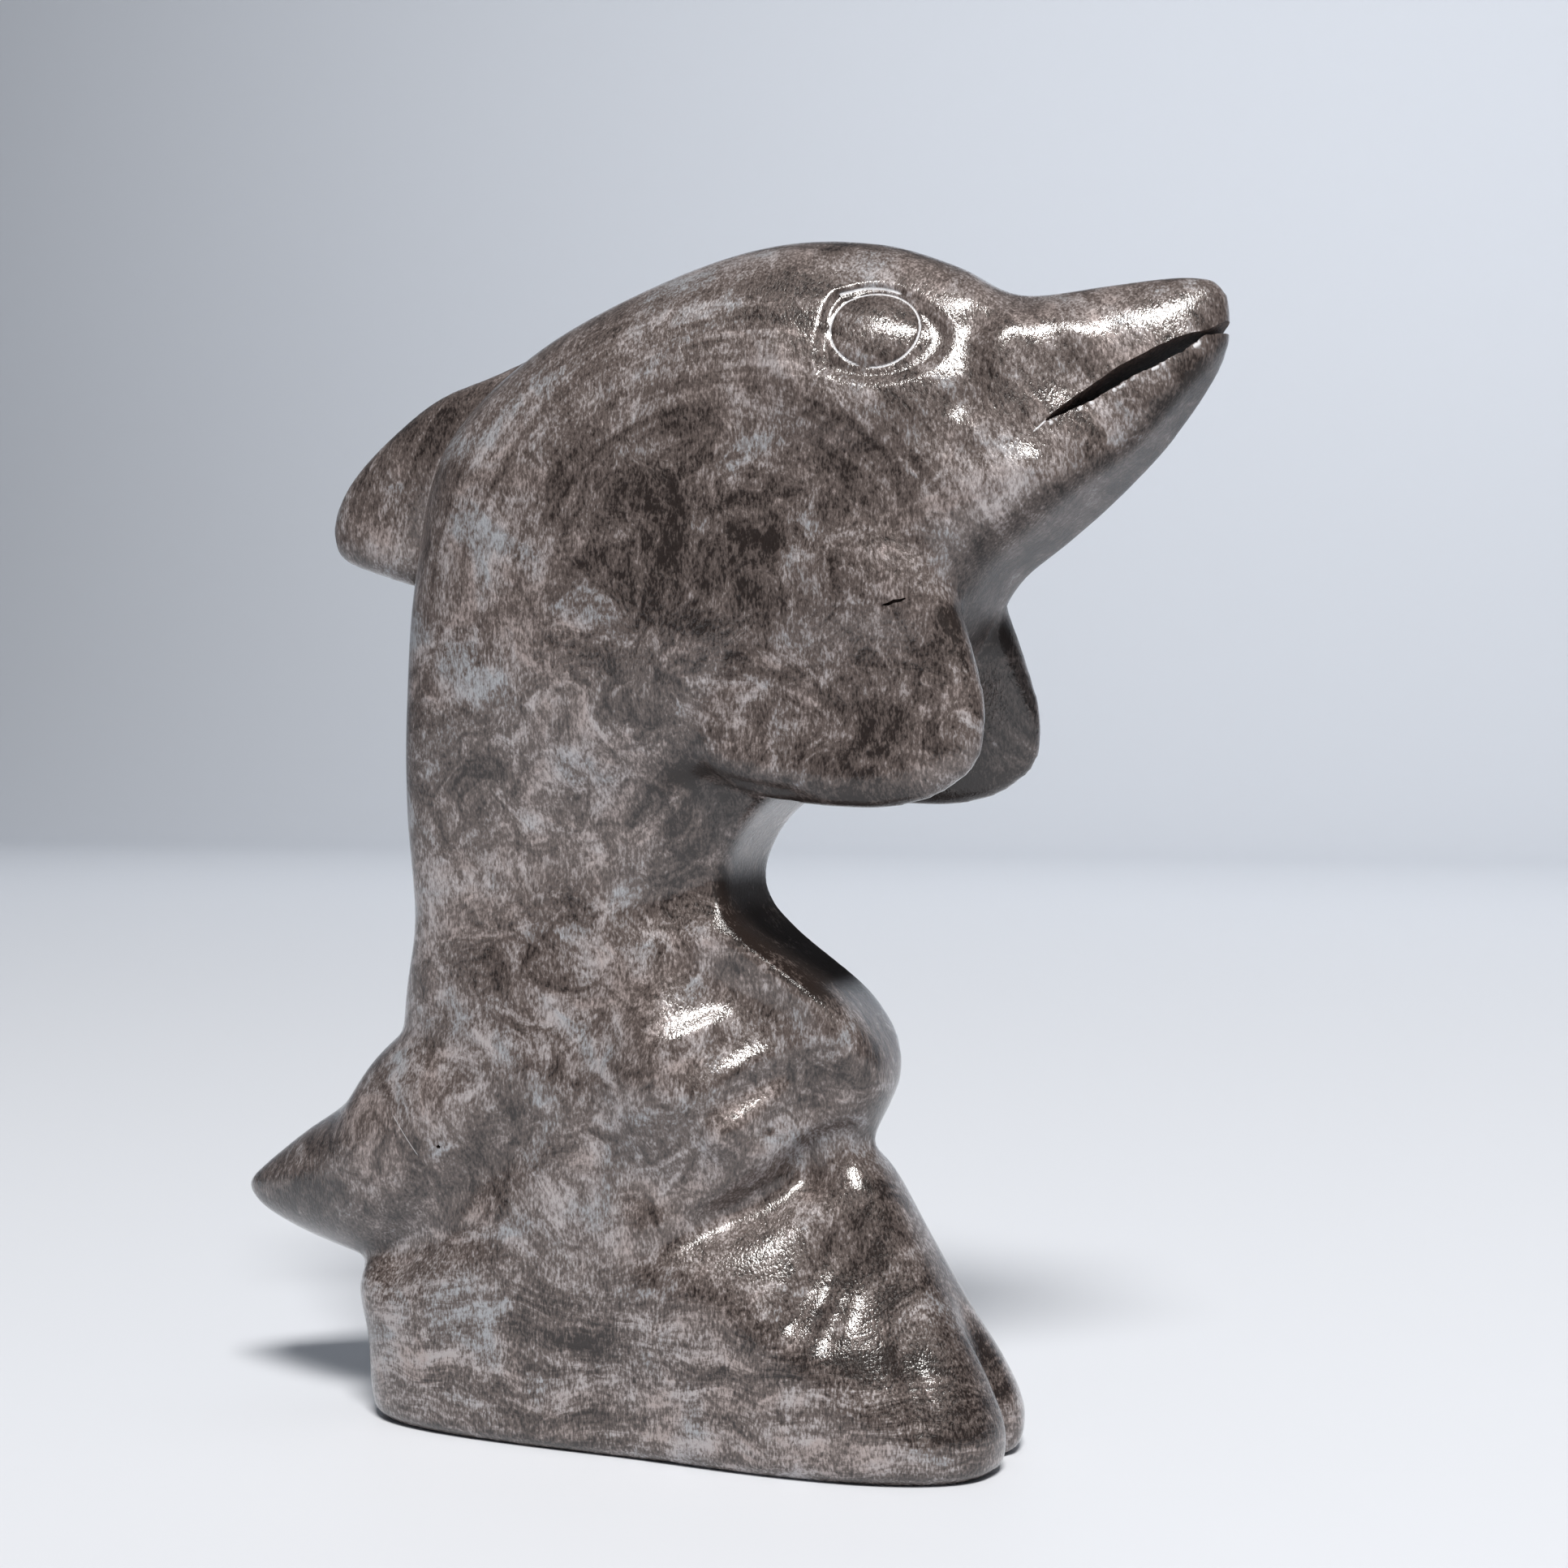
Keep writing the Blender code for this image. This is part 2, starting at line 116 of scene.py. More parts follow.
BASE = (
    (-23.8, -2.0, 22.8, -2.0, 0.88, 0.98, 3.6, 3.6),
    (-24.7, 2.0, 23.9, 2.2, 0.90, 0.98, 4.0, 4.0),
    (-25.0, 6.0, 22.7, 6.0, 0.90, 0.94, 4.0, 4.0),
    (-25.7, 10.4, 20.3, 10.2, 0.90, 0.92, 3.8, 3.8),
    (-22.0, 14.0, 17.6, 15.0, 0.90, 0.86, 3.4, 3.4),
    (-16.0, 17.0, 15.0, 19.6, 0.86, 0.80, 3.2, 3.2),
    (-8.0, 19.0, 12.5, 22.6, 0.78, 0.74, 3.0, 3.0),
)

# Hollows ground into both flanks: the deep end (x, z), the end where it runs out, half widths to the
# left and right of that way, depth. A depth below zero is a ridge.
HOLLOWS = (
    ((17.5, 24.6), (-1.5, 13.6), 2.1, 0.6, 2.2),     # crease under the wave
    ((-21.5, 12.4), (-7.0, 24.5), 2.4, 2.4, 1.4),    # between fluke and base
    ((4.6, 30.6), (-0.5, 27.6), 0.7, 0.7, -0.45),    # ripples of the wave
    ((7.9, 28.3), (1.0, 23.8), 0.7, 0.7, -0.60),
    ((9.3, 25.6), (3.0, 21.2), 0.7, 0.7, -0.70),
    ((12.2, 29.8), (7.5, 27.0), 0.6, 0.6, -0.15),
    ((13.0, 26.6), (8.0, 23.5), 0.6, 0.6, -0.15),
    ((22.8, 77.6), (23.0, 71.5), 0.8, 1.7, 0.60),    # between head and beak
    ((4.5, 40.5), (-4.0, 37.0), 2.2, 2.2, 1.2),      # front of the waist
    ((10.4, 10.5), (13.4, 17.0), 0.7, 0.7, 0.50),    # flutes of the rock
    ((12.6, 9.5), (14.6, 15.5), 0.7, 0.7, 0.55),
    ((19.3, 4.0), (17.0, 12.0), 0.7, 0.7, 0.50),
)
# Small rises (or, below zero, pits) of both flanks: (x, z), half width, height.
RISES = (
    ((22.3, 72.2), 1.1, -0.45),                  # corner pit before the beak
)
# Slopes of both flanks: a place (x, z) in the middle, the way it falls, its length,
# how much it lifts the high side and sinks the low side, and its reach from the place.
SLOPES = (
    ((5.6, 26.6), math.radians(31), 8.0, 1.5, 1.6, 8.5),      # wave up to the waist
    ((7.4, 24.2), math.radians(85), 4.0, 0.75, 0.0, 3.6),     # its lowest ripple
    ((10.5, 12.5), math.radians(57), 9.0, 0.7, 1.9, 14.0),    # rock up to its top
    ((15.0, 77.0), math.radians(57), 12.0, 0.5, 0.7, 7.0),    # cheek up to the crown
    ((26.8, 75.1), math.radians(-90), 5.0, 0.70, 0.0, 4.1),   # root of the beak, down to the mouth
    ((23.5, 72.0), math.radians(-85), 6.0, 0.0, 0.25, 4.5),   # cheek down to the jaw
    ((29.5, 71.0), math.radians(-90), 5.0, 0.0, 0.35, 4.0),   # jaw under the mouth's corner
    ((7.5, 46.9), math.radians(-100), 2.4, 0.0, 1.5, 5.0),    # breast fin down to its lower edge
)

# Lighter and darker places of the skin's tone: place (x, z), half sizes, strength.
SHADES = (
    # painted shade in the hollow at the front of the waist
    ((1.5, 41.0), (2.2, 3.2), -0.30),            # front of the waist
    ((-9.0, 44.0), (8.0, 6.0), 0.12),            # waist
    ((-4.0, 24.0), (6.0, 5.0), 0.18),            # wave
    ((10.0, 33.0), (5.0, 3.0), -0.15),
    ((-11.0, 19.0), (3.0, 5.0), -0.22),          # between fluke and wave
    ((-17.0, 9.0), (5.0, 4.0), 0.15),            # rock
    ((17.0, 9.0), (4.0, 6.0), -0.20),
    ((15.0, 20.0), (4.0, 3.0), -0.20),
    ((27.0, 68.0), (7.0, 4.0), 0.20),            # jaw
    ((30.0, 77.0), (6.0, 3.0), 0.08),            # beak
    ((8.0, 60.0), (13.0, 13.0), -0.10),          # chest
    ((-30.0, 18.0), (7.0, 6.0), -0.38),          # fluke
    ((0.0, 6.0), (26.0, 7.0), 0.10),             # foot of the rock
)

# painted shade: the skin that faces down is drawn darker
UNDERSIDE_SHADE = 0.2      # of the skin that faces down
# painted shade: the faces that the two breast fins turn to each other, and other skin turned to the middle,
# are drawn darker
INNER_SHADE = 0.45         # of the faces that the two breast fins turn to each other
# Less polished bands with painted shade: path (x, z), half width, share of the polish lost, how much
# painted shade darkens it, and which skin takes part: 3 for all of it, 0 for the skin turned away from the
# flanks.
DULL_SHADED_BANDS = (
    # the notch's lower face, with painted shade and a painted dark reflection under the fins
    (((4.7, 39.4), (5.0, 37.8), (7.6, 35.2), (10.6, 33.4)), 1.6, 1.0, 1.0, 0),
    # throat and jaw, with painted shade on their underside
    (((22.0, 58.0), (24.5, 62.5), (30.5, 67.5), (37.0, 74.0)), 2.2, 0.6, 0.5, 0),
    # the breast fins' lower edge, with painted shade and a painted dark reflection
    (((1.0, 47.0), (4.0, 48.3), (8.5, 46.3), (13.0, 45.4), (19.0, 45.4)), 0.9, 0.3, 0.5, 3),
)
DULL_TURN = (3.45, 3.4)    # a band's share on skin square to the flank, and its loss towards the flank

EYE_PLACE = (16.0, 77.75)
EYE_RADIUS = 3.05          # of the engraved ring
EYE_NEAR = 3               # an eye's carving ends within this many ring radii
EYE_SQUASH = 0.97          # the ring's height as a share of its width
EYE_DOME = 0.55            # height of the domed eye over its foot
SOCKET_DEPTH = 0.45        # of the eye's foot below the head
DOME_INSET = 0.2           # of the dome's foot inside the socket's outline
SOCKET_EDGE = (1.0, 0.5)   # half width of the socket's rim, low towards the beak and high behind
SOCKET_TURN = 0.8          # angle between those places and the vertical, in radians
# The socket's outline: angle from the beak's side, in degrees, and distance from the eye's middle.
SOCKET = ((-180, 3.46), (-150, 4.0), (-133, 4.7), (-127, 4.3), (-105, 3.92), (-81, 3.87), (-56, 4.08),
          (-36, 4.47), (-21, 4.79), (-10, 4.9), (0, 4.7), (14, 4.02), (26, 3.56), (60, 3.36), (75, 3.4),
          (93, 3.46), (123, 3.65), (137, 3.96), (158, 3.73), (180, 3.46))
RING_DEPTH = 0.10
RING_GAP = (-98, 9, 0.8)   # where the ring fades: angle and half width in degrees, share lost
LINE_HALF_WIDTH = 0.085    # of every engraved line
BROW_SPAN = (math.radians(58), math.radians(138))   # of the line along the socket's upper edge
BROW_FADE = (0.2, 0.1)     # of its two ends, in radians

# The saw cut's middle line from the mouth's corner out past the tip: (x, z) and half width.
MOUTH = ((27.6, 70.9, 0.04), (28.4, 71.5, 0.18), (29.3, 72.15, 0.30), (30.8, 73.15, 0.40),
         (32.4, 74.2, 0.47), (34.6, 75.35, 0.50), (35.8, 76.0, 0.45), (36.6, 76.45, 0.28),
         (37.2, 76.8, 0.12), (37.9, 77.1, 0.20), (38.6, 77.45, 0.42), (42.0, 78.9, 0.80))
TIP_HALF = 1.2             # the cut spans at least this much to each side, past the tip too
LIP_FLARE = 0.07           # rounding of the cut's edges at the skin
FLARE_REACH = 0.35         # depth in which that rounding falls to a third
LIP_CHIPS = 0.20           # depth of the lower lip's chips
CHIP_PITCH = 2.3
CHIP_SHARE = (0.2, 1.6)    # of the lower lip that is pale with chips: level and swing
CHIP_BAND = (0.22, 0.26)   # distance below the cut and half width of the pale band
CHIP_FROST = 0.75
CHIP_SLANT = 0.6           # how far the chips slant across the beak
SAW_WANDER = 0.04          # unevenness of the cut's two faces
UPPER_WAVES = (0.3, 1.1)   # slant and pitch of it above,
LOWER_WAVES = (-0.4, 1.6)  # and below
SAW_STEPS = 70             # along the cut
SAW_OUTSIDE = 1.6          # places across it, as shares of the way to the skin: outside,
SAW_NEAR_SKIN = (0.8, 1.12, 12)         # at the skin (from, to, how many)
SAW_INSIDE = (-0.7, 0.7, 8)             # and inside
FULL_HALF = 0.3            # narrower than this half width, the cut has smaller chips and flare
MOUTH_TAIL = (26.9, 70.2)  # end of the scratch before the mouth's corner
TAIL_HALF_WIDTH = 0.07

GROOVE_TOP = 11.5          # where the groove in the base's front begins
GROOVE_FADE = 5.5          # height in which it reaches its full depth
GROOVE_DEPTH = 1.3
GROOVE_HALF_WIDTH = 1.1

CRACK = ((17.3, 58.8), (18.9, 59.25))  # a short open crack above the breast fin
CRACK_WIDTH = 0.24
PINHOLE = ((-16.75, 20.9), (-16.45, 20.9))
PINHOLE_WIDTH = 0.28
SCRATCH = ((-20.9, 23.4), (-17.9, 19.7))  # fine line on the fluke
CUT_DEPTH = 0.7            # of the crack and the pinhole
CUT_START = 2.0            # the blade of each starts this far outside the skin
CUT_POINTS = 12            # round the blade's outline
CUT_RAGGED = 0.4           # unevenness of its edges, as a share of its width

FOOT_RADIUS = 1.1          # rounding of the lower edge

FUSE_SIZE = 0.48           # voxel of the fused stone
SPAN_STEPS = 8             # of a form's curve, from one station to the next
RING_POINTS = 72           # round each form
SLOPE_FADE = (2.0, 1.6)    # a slope is full up to 1 / 1.6 of its reach, and gone at 2 / 1.6
PULL = 0.55                # smoothing that keeps the size: towards the neighbours and away again
PUSH = -0.57
FUSED_ROUNDS = 4           # of plain smoothing before the carving
CARVED_ROUNDS = 8          # of smoothing that keeps the size, after it
FINE_ROUNDS = 6            # and where the faces are split
FINE_REACH = ((2.8, 1.5), (2.4, 1.0))   # each split's reach past the eye's ring and beside the mouth
FINE_MARGIN = 0.3          # the smoothing goes this much further
SMOOTH_ANGLE = math.radians(42)         # edges sharper than this stay sharp
RAY_START = 30             # from the middle plane, well outside the stone
SEED = 7                   # of the uneven lines
LINE_WAVES = 5             # sines in an uneven line
WAVE_GROWTH = 1.9          # pitch of each over the one before
WAVE_FALL = 1.5            # its height under the one before
WAVE_SUM = 2.2             # what brings the sum to about 1

DARK_STONE = (0.014, 0.008, 0.006, 1)
MID_STONE = (0.115, 0.090, 0.081, 1)
LIGHT_STONE = (0.42, 0.385, 0.385, 1)
BLUE_STONE = (0.35, 0.36, 0.38, 1)
ROSE_STONE = (0.39, 0.330, 0.315, 1)
FROST = (0.72, 0.72, 0.74, 1)           # ground stone of the engraved lines
# colours of the sawn stone, darkened as painted shade inside the saw cut, the crack and the pinhole
SAWN_SHADE_DARK = (0.020, 0.012, 0.010, 1)
SAWN_SHADE_LIGHT = (0.11, 0.07, 0.055, 1)
# Pitch, detail, roughness and distortion of the stone's noises.
DRIFT_NOISE = (0.09, 2.0)
CLOUD_NOISE = (0.10, 5.0, 0.6, 0.6)
PATCH_NOISE = (0.40, 5.0, 0.65, 1.0)
GRAIN_NOISE = (1.6, 4.0, 0.65, 0.8)
FLECK_NOISE = (6.0, 2.0, 0.6, 0.3)
RING_NOISE = (1.0, 5.0, 0.65, 0.4)
BED_NOISE = (1.0, 5.0, 0.65, 0.5)
TINT_NOISE = (0.20, 3.0, 0.55, 0.6)
SAWN_NOISE = (3.5, 4.0, 0.65)
# How dense each pattern is along x, y and z.
GRAIN_SCALE = (1.0, 1.0, 0.45)
FLECK_SCALE = (1.0, 1.0, 0.4)
LAID_SCALE = (0.45, 0.45, 1.3)          # of the grain where the rock lies in beds
BED_SCALE = (0.12, 0.12, 0.60)
RING_SCALE = (0.75, 1.3, 0.12)          # of the rings, outwards, round and across the slab
CLOUD_GAIN = 2.8           # what each noise adds to the tone
PATCH_GAIN = 3.4
GRAIN_GAIN = 1.6
FLECK_GAIN = 2.3
MIDDLE_TONE = 0.50
DARK_TONES = (-0.35, 0.50)              # from the dark to the middling stone
LIGHT_TONES = (0.50, 1.35)              # and on to the light
ROSE_TINTS = (0.38, 0.52)  # from rose to the plain light stone
BLUE_TINTS = (0.52, 0.66)  # and on to blue
DRIFT = 9.0                # how far the pattern is swirled
BED_HEIGHTS = (20.0, 8.0)  # between which the rock's flat beds take over, going down
BED_SHARE = 0.8
BED_CONTRAST = 0.4         # more contrast there
SWIRL_CENTRE = (6.0, 58.0)              # of the rings of tone round the chest
RING_RADII = (9.0, 15.0)   # where the rings take over, outwards
RING_HEIGHTS = (-6.0, 6.0)              # and upwards, from the centre
RING_SHARE = 0.7
SWIRL_CORE = -0.22         # tone inside the rings
CORE_RADII = (16.5, 9.0)
SWIRL_BAND = 17.8          # radius of the palest ring
BAND_TONE = 0.22           # of that ring
BAND_EDGES = (2.2, 0.3)    # half its width, outside and inside its soft edge
BAND_FRONT = (9.0, 3.0)    # where it starts behind the head, from the centre
BAND_FOOT = (0.0, 5.0)     # and above the breast
SILVER = 0.15              # metal share of the lightest stone
SILVER_TONES = (0.3, 1.2)
ROUGH = (0.28, 0.25)       # roughness of the stone and what the flecks add
FROST_ROUGH = 0.3          # what the ground lines add
DULL_ROUGH = 0.6           # and the dull bands
FROST_EDGES = (0.3, 0.8)
STONE_RELIEF = (0.7, 0.00012)           # strength, and height in metres
POLISH_RELIEF = (0.5, 0.00006)
SAWN_RELIEF = (0.8, 0.0002)
SAWN_TONES = (0.35, 0.75)
SCRATCH_EDGES = (0.07, 0.02)            # half width of the scratch, outside and inside its soft edge
SCRATCH_FROST = 0.55

CAMERA_PLACE = (0.0625, -0.1528, 0.0479)
CAMERA_TURN = (math.radians(89.67), 0.0, math.radians(20.0))
CAMERA_LENS = 52.17
SENSOR = 36.0
FLOOR_FRONT = -3.0         # front edge of the paper sweep
SWEEP_START = 1.1          # where its round begins
SWEEP_RADIUS = 0.4
WALL_TOP = 0.78            # just above the picture
SWEEP_HALF = 4.0           # half its width
PAPER = (0.74, 0.77, 0.82, 1)
ROOM_LIGHT = (0.84, 0.90, 1.0, 1)
ROOM_STRENGTH = 0.12
# Lamps: name, place, what it is aimed at, width, height, power, colour, whether the polish mirrors it.
LAMPS = (
    ("key", (0.30, -0.57, 0.93), (0, 0, 0.045), 0.32, 0.24, 15.5, (1.0, 0.97, 0.94), True),
    ("ceiling", (0.0, 0.35, 1.25), (0.0, 0.1, 0.0), 1.7, 1.7, 1.1, (0.92, 0.96, 1.0), False),
    ("wall_wash", (0.0, 0.5, 0.9), (0.0, 1.5, 0.25), 1.8, 0.2, 8.0, (0.95, 0.97, 1.0), False),
)


def stations_curve(stations):
    """Smooth curve through the stations: each span blends its four neighbours with cubic weights of t,
    which make the curve leave each station in the direction from the one before to the one after."""
    rows = np.array(stations, dtype=float)
    ends = np.vstack([2 * rows[0] - rows[1], rows, 2 * rows[-1] - rows[-2]])
    t = (np.arange(SPAN_STEPS) / SPAN_STEPS)[None, :, None]
    before, start, stop, after = (ends[k:len(ends) - 3 + k][:, None, :] for k in range(4))
    spans = 0.5 * (2 * start + (stop - before) * t
                   + (2 * before - 5 * start + 4 * stop - after) * t ** 2
                   + (3 * start - before - 3 * stop + after) * t ** 3)
    return np.vstack([spans.reshape(-1, rows.shape[1]), rows[-1:]])


def loft_grid(stations, half_width, middle=0.0):
    """Grid of points of a form: v walks the curve through the stations, u goes round a superellipse
    whose axis runs from the rear point to the front point; widths blend from rear to front, and each
    half has its own squareness."""
    columns = stations_curve(stations).T[:, :, None]
    rear_x, rear_z, front_x, front_z, rear_share, front_share, rear_square, front_square = columns
    u = np.linspace(0.0, 2 * math.pi, RING_POINTS, endpoint=False)[None, :]
    square = np.where(np.cos(u) > 0, front_square, rear_square)
    s = np.sign(np.cos(u)) * np.abs(np.cos(u)) ** (2 / square)
    side = np.sign(np.sin(u)) * np.abs(np.sin(u)) ** (2 / square)
    fore = (1 + s) / 2
    x = rear_x * (1 - fore) + front_x * fore
    z = rear_z * (1 - fore) + front_z * fore
    y = middle + half_width * (rear_share * (1 - fore) + front_share * fore) * side
    return np.stack([x, y, z], axis=-1)


def turned_out(grid, side):
    """A breast fin turned about a line along X through its root: y and z rotate by the splay angle."""
    angle = side * FIN_SPLAY
    y = grid[..., 1] - side * FIN_GAP / 2
    z = grid[..., 2] - FIN_TURN
    turned = grid.copy()
    turned[..., 1] = side * FIN_GAP / 2 + y * math.cos(angle) - z * math.sin(angle)
    turned[..., 2] = FIN_TURN + y * math.sin(angle) + z * math.cos(angle)
    return turned


def grid_faces(rows, columns, start):
    """Quads of a grid that closes round its columns, and one face on each end."""
    index = start + np.arange(rows * columns).reshape(rows, columns)
    right = np.roll(index, -1, axis=1)
    quads = np.stack([index[:-1], right[:-1], right[1:], index[1:]], axis=-1).reshape(-1, 4)
    return quads.tolist() + [index[0, ::-1].tolist(), index[-1].tolist()]


def fused_skin(grids):
    """One closed skin over all the overlapping forms, as points in units and four-cornered faces."""
    points = []
    faces = []
    for grid in grids:
        faces += grid_faces(grid.shape[0], grid.shape[1], sum(map(len, points)))
        points.append(grid.reshape(-1, 3))
    rough = bpy.data.meshes.new("rough")
    rough.from_pydata(np.vstack(points).tolist(), [], faces)
    solid = bmesh.new()
    solid.from_mesh(rough)
    bmesh.ops.recalc_face_normals(solid, faces=solid.faces)
    solid.to_mesh(rough)
    solid.free()
    holder = bpy.data.objects.new("rough", rough)
    bpy.context.scene.collection.objects.link(holder)
    remesh = holder.modifiers.new("fuse", "REMESH")
    remesh.mode = "VOXEL"
    remesh.voxel_size = FUSE_SIZE
    graph = bpy.context.evaluated_depsgraph_get()
    mesh = bpy.data.meshes.new_from_object(holder.evaluated_get(graph))
    bpy.data.objects.remove(holder, do_unlink=True)
    bpy.data.meshes.remove(rough)
    return mesh


def read(name, owner):
    """A mesh's places or directions as one array, three numbers to a row."""
    values = np.empty(len(owner) * 3)
    owner.foreach_get(name, values)
    return values.reshape(-1, 3)


def relaxed(points, edges, rounds, share=1.0):
    """Smooth without shrinking: each round moves a point towards the mean of its neighbours by the
    pull, then away by the push; share says how much of it each point takes."""
    a, b = edges.T
    count = len(points)
    degree = np.bincount(a, minlength=count) + np.bincount(b, minlength=count)
    points = points.copy()
    for turn in range(2 * rounds):
        total = np.empty_like(points)
        for axis in range(3):
            total[:, axis] = (np.bincount(a, weights=points[b, axis], minlength=count)
                              + np.bincount(b, weights=points[a, axis], minlength=count))
        pull = total / np.maximum(degree, 1)[:, None] - points
        step = PULL if turn % 2 == 0 else PUSH
        points += step * pull * np.reshape(share, (-1, 1))
    return points


def softened(points, edges, rounds):
    """Plain smoothing: each round moves a point half of the way to the mean of its neighbours."""
    a, b = edges.T
    count = len(points)
    degree = np.maximum(np.bincount(a, minlength=count) + np.bincount(b, minlength=count), 1)
    points = points.copy()
    for _ in range(rounds):
        total = np.empty_like(points)
        for axis in range(3):
            total[:, axis] = (np.bincount(a, weights=points[b, axis], minlength=count)
                              + np.bincount(b, weights=points[a, axis], minlength=count))
        points += 0.5 * (total / degree[:, None] - points)
    return points


def bell(distance, half_width):
    """Bell curve of a distance: 1 at nought, about a third at the half width."""
    return np.exp(-(distance / half_width) ** 2)


def hollow_depth(x, z):
    """Depth of the hollows: each is deepest at its first end, fades along its line, and falls off
    beside the line as a bell curve."""
    depth = np.zeros_like(x)
    for (start_x, start_z), (end_x, end_z), left_width, right_width, full in HOLLOWS:
        run = np.array([end_x - start_x, end_z - start_z])
        along = ((x - start_x) * run[0] + (z - start_z) * run[1]) / (run @ run)
        along = np.clip(along, 0.0, 1.0)
        across = x - start_x - along * run[0]
        up = z - start_z - along * run[1]
        width = np.where(run[0] * up > run[1] * across, left_width, right_width)
        depth += full * (1.0 - along ** 2) * bell(np.hypot(across, up), width)
    return depth


def rises(x, z):
    """Height of the small rises and pits: a bell curve of the distance from each."""
    height = np.zeros_like(x)
    for (place_x, place_z), half_width, full in RISES:
        height += full * bell(np.hypot(x - place_x, z - place_z), half_width)
    return height


def smooth_step(value):
    """From 0 to 1 as the value goes from 0 to 1, by 3 v squared less 2 v cubed."""
    v = np.clip(value, 0.0, 1.0)
    return v * v * (3 - 2 * v)


def slope_depth(x, z):
    """Depth of the slopes: each goes smoothly from a lift to a sink along its fall, inside a soft reach."""
    depth = np.zeros_like(x)
    for (place_x, place_z), way, length, lift, sink, reach in SLOPES:
        across = x - place_x
        up = z - place_z
        fall = across * math.cos(way) + up * math.sin(way)
        share = smooth_step(fall / length + 0.5)
        near = smooth_step(SLOPE_FADE[0] - SLOPE_FADE[1] * np.hypot(across, up) / reach)
        depth += ((lift + sink) * share - lift) * near
    return depth


def front_groove(x, y, z):
    """Depth of the groove down the middle of the base's front: a bell curve across, growing downwards."""
    down = np.clip((GROOVE_TOP - z) / GROOVE_FADE, 0.0, 1.0)
    return GROOVE_DEPTH * down * bell(y, GROOVE_HALF_WIDTH) * (x > 0)


def edge_pairs(mesh):
    """The two point numbers of each edge."""
    edges = np.empty(len(mesh.edges) * 2, dtype=np.int32)
    mesh.edges.foreach_get("vertices", edges)
    return edges.reshape(-1, 2)


def drawn_in(points, normals):
    """Round the foot: below the foot's radius R the skin moves inwards by R less the square root of
    R squared less the square of the depth below R."""
    below = np.clip(FOOT_RADIUS - points[:, 2], 0.0, FOOT_RADIUS)
    inwards = FOOT_RADIUS - np.sqrt(FOOT_RADIUS ** 2 - below ** 2)
    level = normals * (1.0, 1.0, 0.0)
    level /= np.maximum(np.linalg.norm(level, axis=1), 1e-6)[:, None]
    return points - level * inwards[:, None]


def carved_skin():
    """The fused skin, ground and smoothed, in units."""
    fin_middle = FIN_GAP / 2 + FIN_THICKNESS / 2
    fins = [turned_out(loft_grid(BREAST_FIN, FIN_THICKNESS / 2, side * fin_middle), side)
            for side in (-1, 1)]
    mesh = fused_skin([
        loft_grid(TRUNK, HALF_BODY),
        loft_grid(DORSAL_FIN, DORSAL_THICKNESS / 2),
        loft_grid(FLUKE, HALF_BODY),
        loft_grid(BASE, HALF_BASE),
    ] + fins)
    edges = edge_pairs(mesh)
    points = read("co", mesh.vertices)
    points = softened(points, edges, FUSED_ROUNDS)
    mesh.vertices.foreach_set("co", points.ravel())
    mesh.update()
    normals = read("normal", mesh.vertices)
    x, y, z = points.T
    flank = np.abs(normals[:, 1])
    move = flank * (rises(x, z) - slope_depth(x, z) - hollow_depth(x, z)) - front_groove(x, y, z)
    points += normals * move[:, None]
    points = softened(points, edges, 1)
    points = relaxed(points, edges, CARVED_ROUNDS)
    points = drawn_in(points, normals)
    mesh.vertices.foreach_set("co", points.ravel())
    mesh.update()
    return mesh


def beside_mouth(x, z):
    """Distance along the saw cut's middle line, from the corner, and signed distance above the line:
    both from the nearest of its straight spans."""
    path = np.array([MOUTH_TAIL] + [station[:2] for station in MOUTH])
    runs = np.diff(path, axis=0)
    lengths = np.hypot(*runs.T)
    reached = np.concatenate([[0.0], np.cumsum(lengths)])[:-1] - lengths[0]
    across = np.asarray(x)[..., None] - path[:-1, 0]
    up = np.asarray(z)[..., None] - path[:-1, 1]
    along = np.clip((across * runs[:, 0] + up * runs[:, 1]) / lengths, 0.0, lengths)
    gap = np.hypot(across - along * runs[:, 0] / lengths, up - along * runs[:, 1] / lengths)
    side = (up * runs[:, 0] - across * runs[:, 1]) / lengths
    nearest = np.argmin(gap, axis=-1)[..., None]
    pick = [np.take_along_axis(each, nearest, axis=-1)[..., 0] for each in (reached + along, gap, side)]
    return pick[0], np.copysign(pick[1], pick[2])


def ray_tree(mesh):
    """The mesh as a tree that finds where a ray meets it."""
    return BVHTree.FromPolygons([v.co for v in mesh.vertices], [p.vertices for p in mesh.polygons])


def near_face(places, eye_reach, mouth_reach):
    """Whether each place is, seen from the side, within reach of the eye's ring or the mouth's line."""
    x, z = places[:, 0], places[:, 2]
    near_eye = np.hypot(x - EYE_PLACE[0], z - EYE_PLACE[1]) < EYE_RADIUS + eye_reach
    return near_eye | (np.abs(beside_mouth(x, z)[1]) < mouth_reach)


def finer(mesh):
    """Split the faces round the eyes and the mouth twice, and smooth the skin there."""
    for eye_reach, mouth_reach in FINE_REACH:
        shape = bmesh.new()
        shape.from_mesh(mesh)
        places = np.array([edge.verts[0].co + edge.verts[1].co for edge in shape.edges]) / 2
        near = near_face(places, eye_reach, mouth_reach)
        shape.edges.ensure_lookup_table()
        chosen = [shape.edges[i] for i in np.flatnonzero(near)]
        bmesh.ops.subdivide_edges(shape, edges=chosen, cuts=1, use_grid_fill=True)
        shape.to_mesh(mesh)
        shape.free()
        points = read("co", mesh.vertices)
        near = near_face(points, eye_reach + FINE_MARGIN, mouth_reach + FINE_MARGIN)
        points = relaxed(points, edge_pairs(mesh), FINE_ROUNDS, near)
        mesh.vertices.foreach_set("co", points.ravel())
        mesh.update()
    return mesh


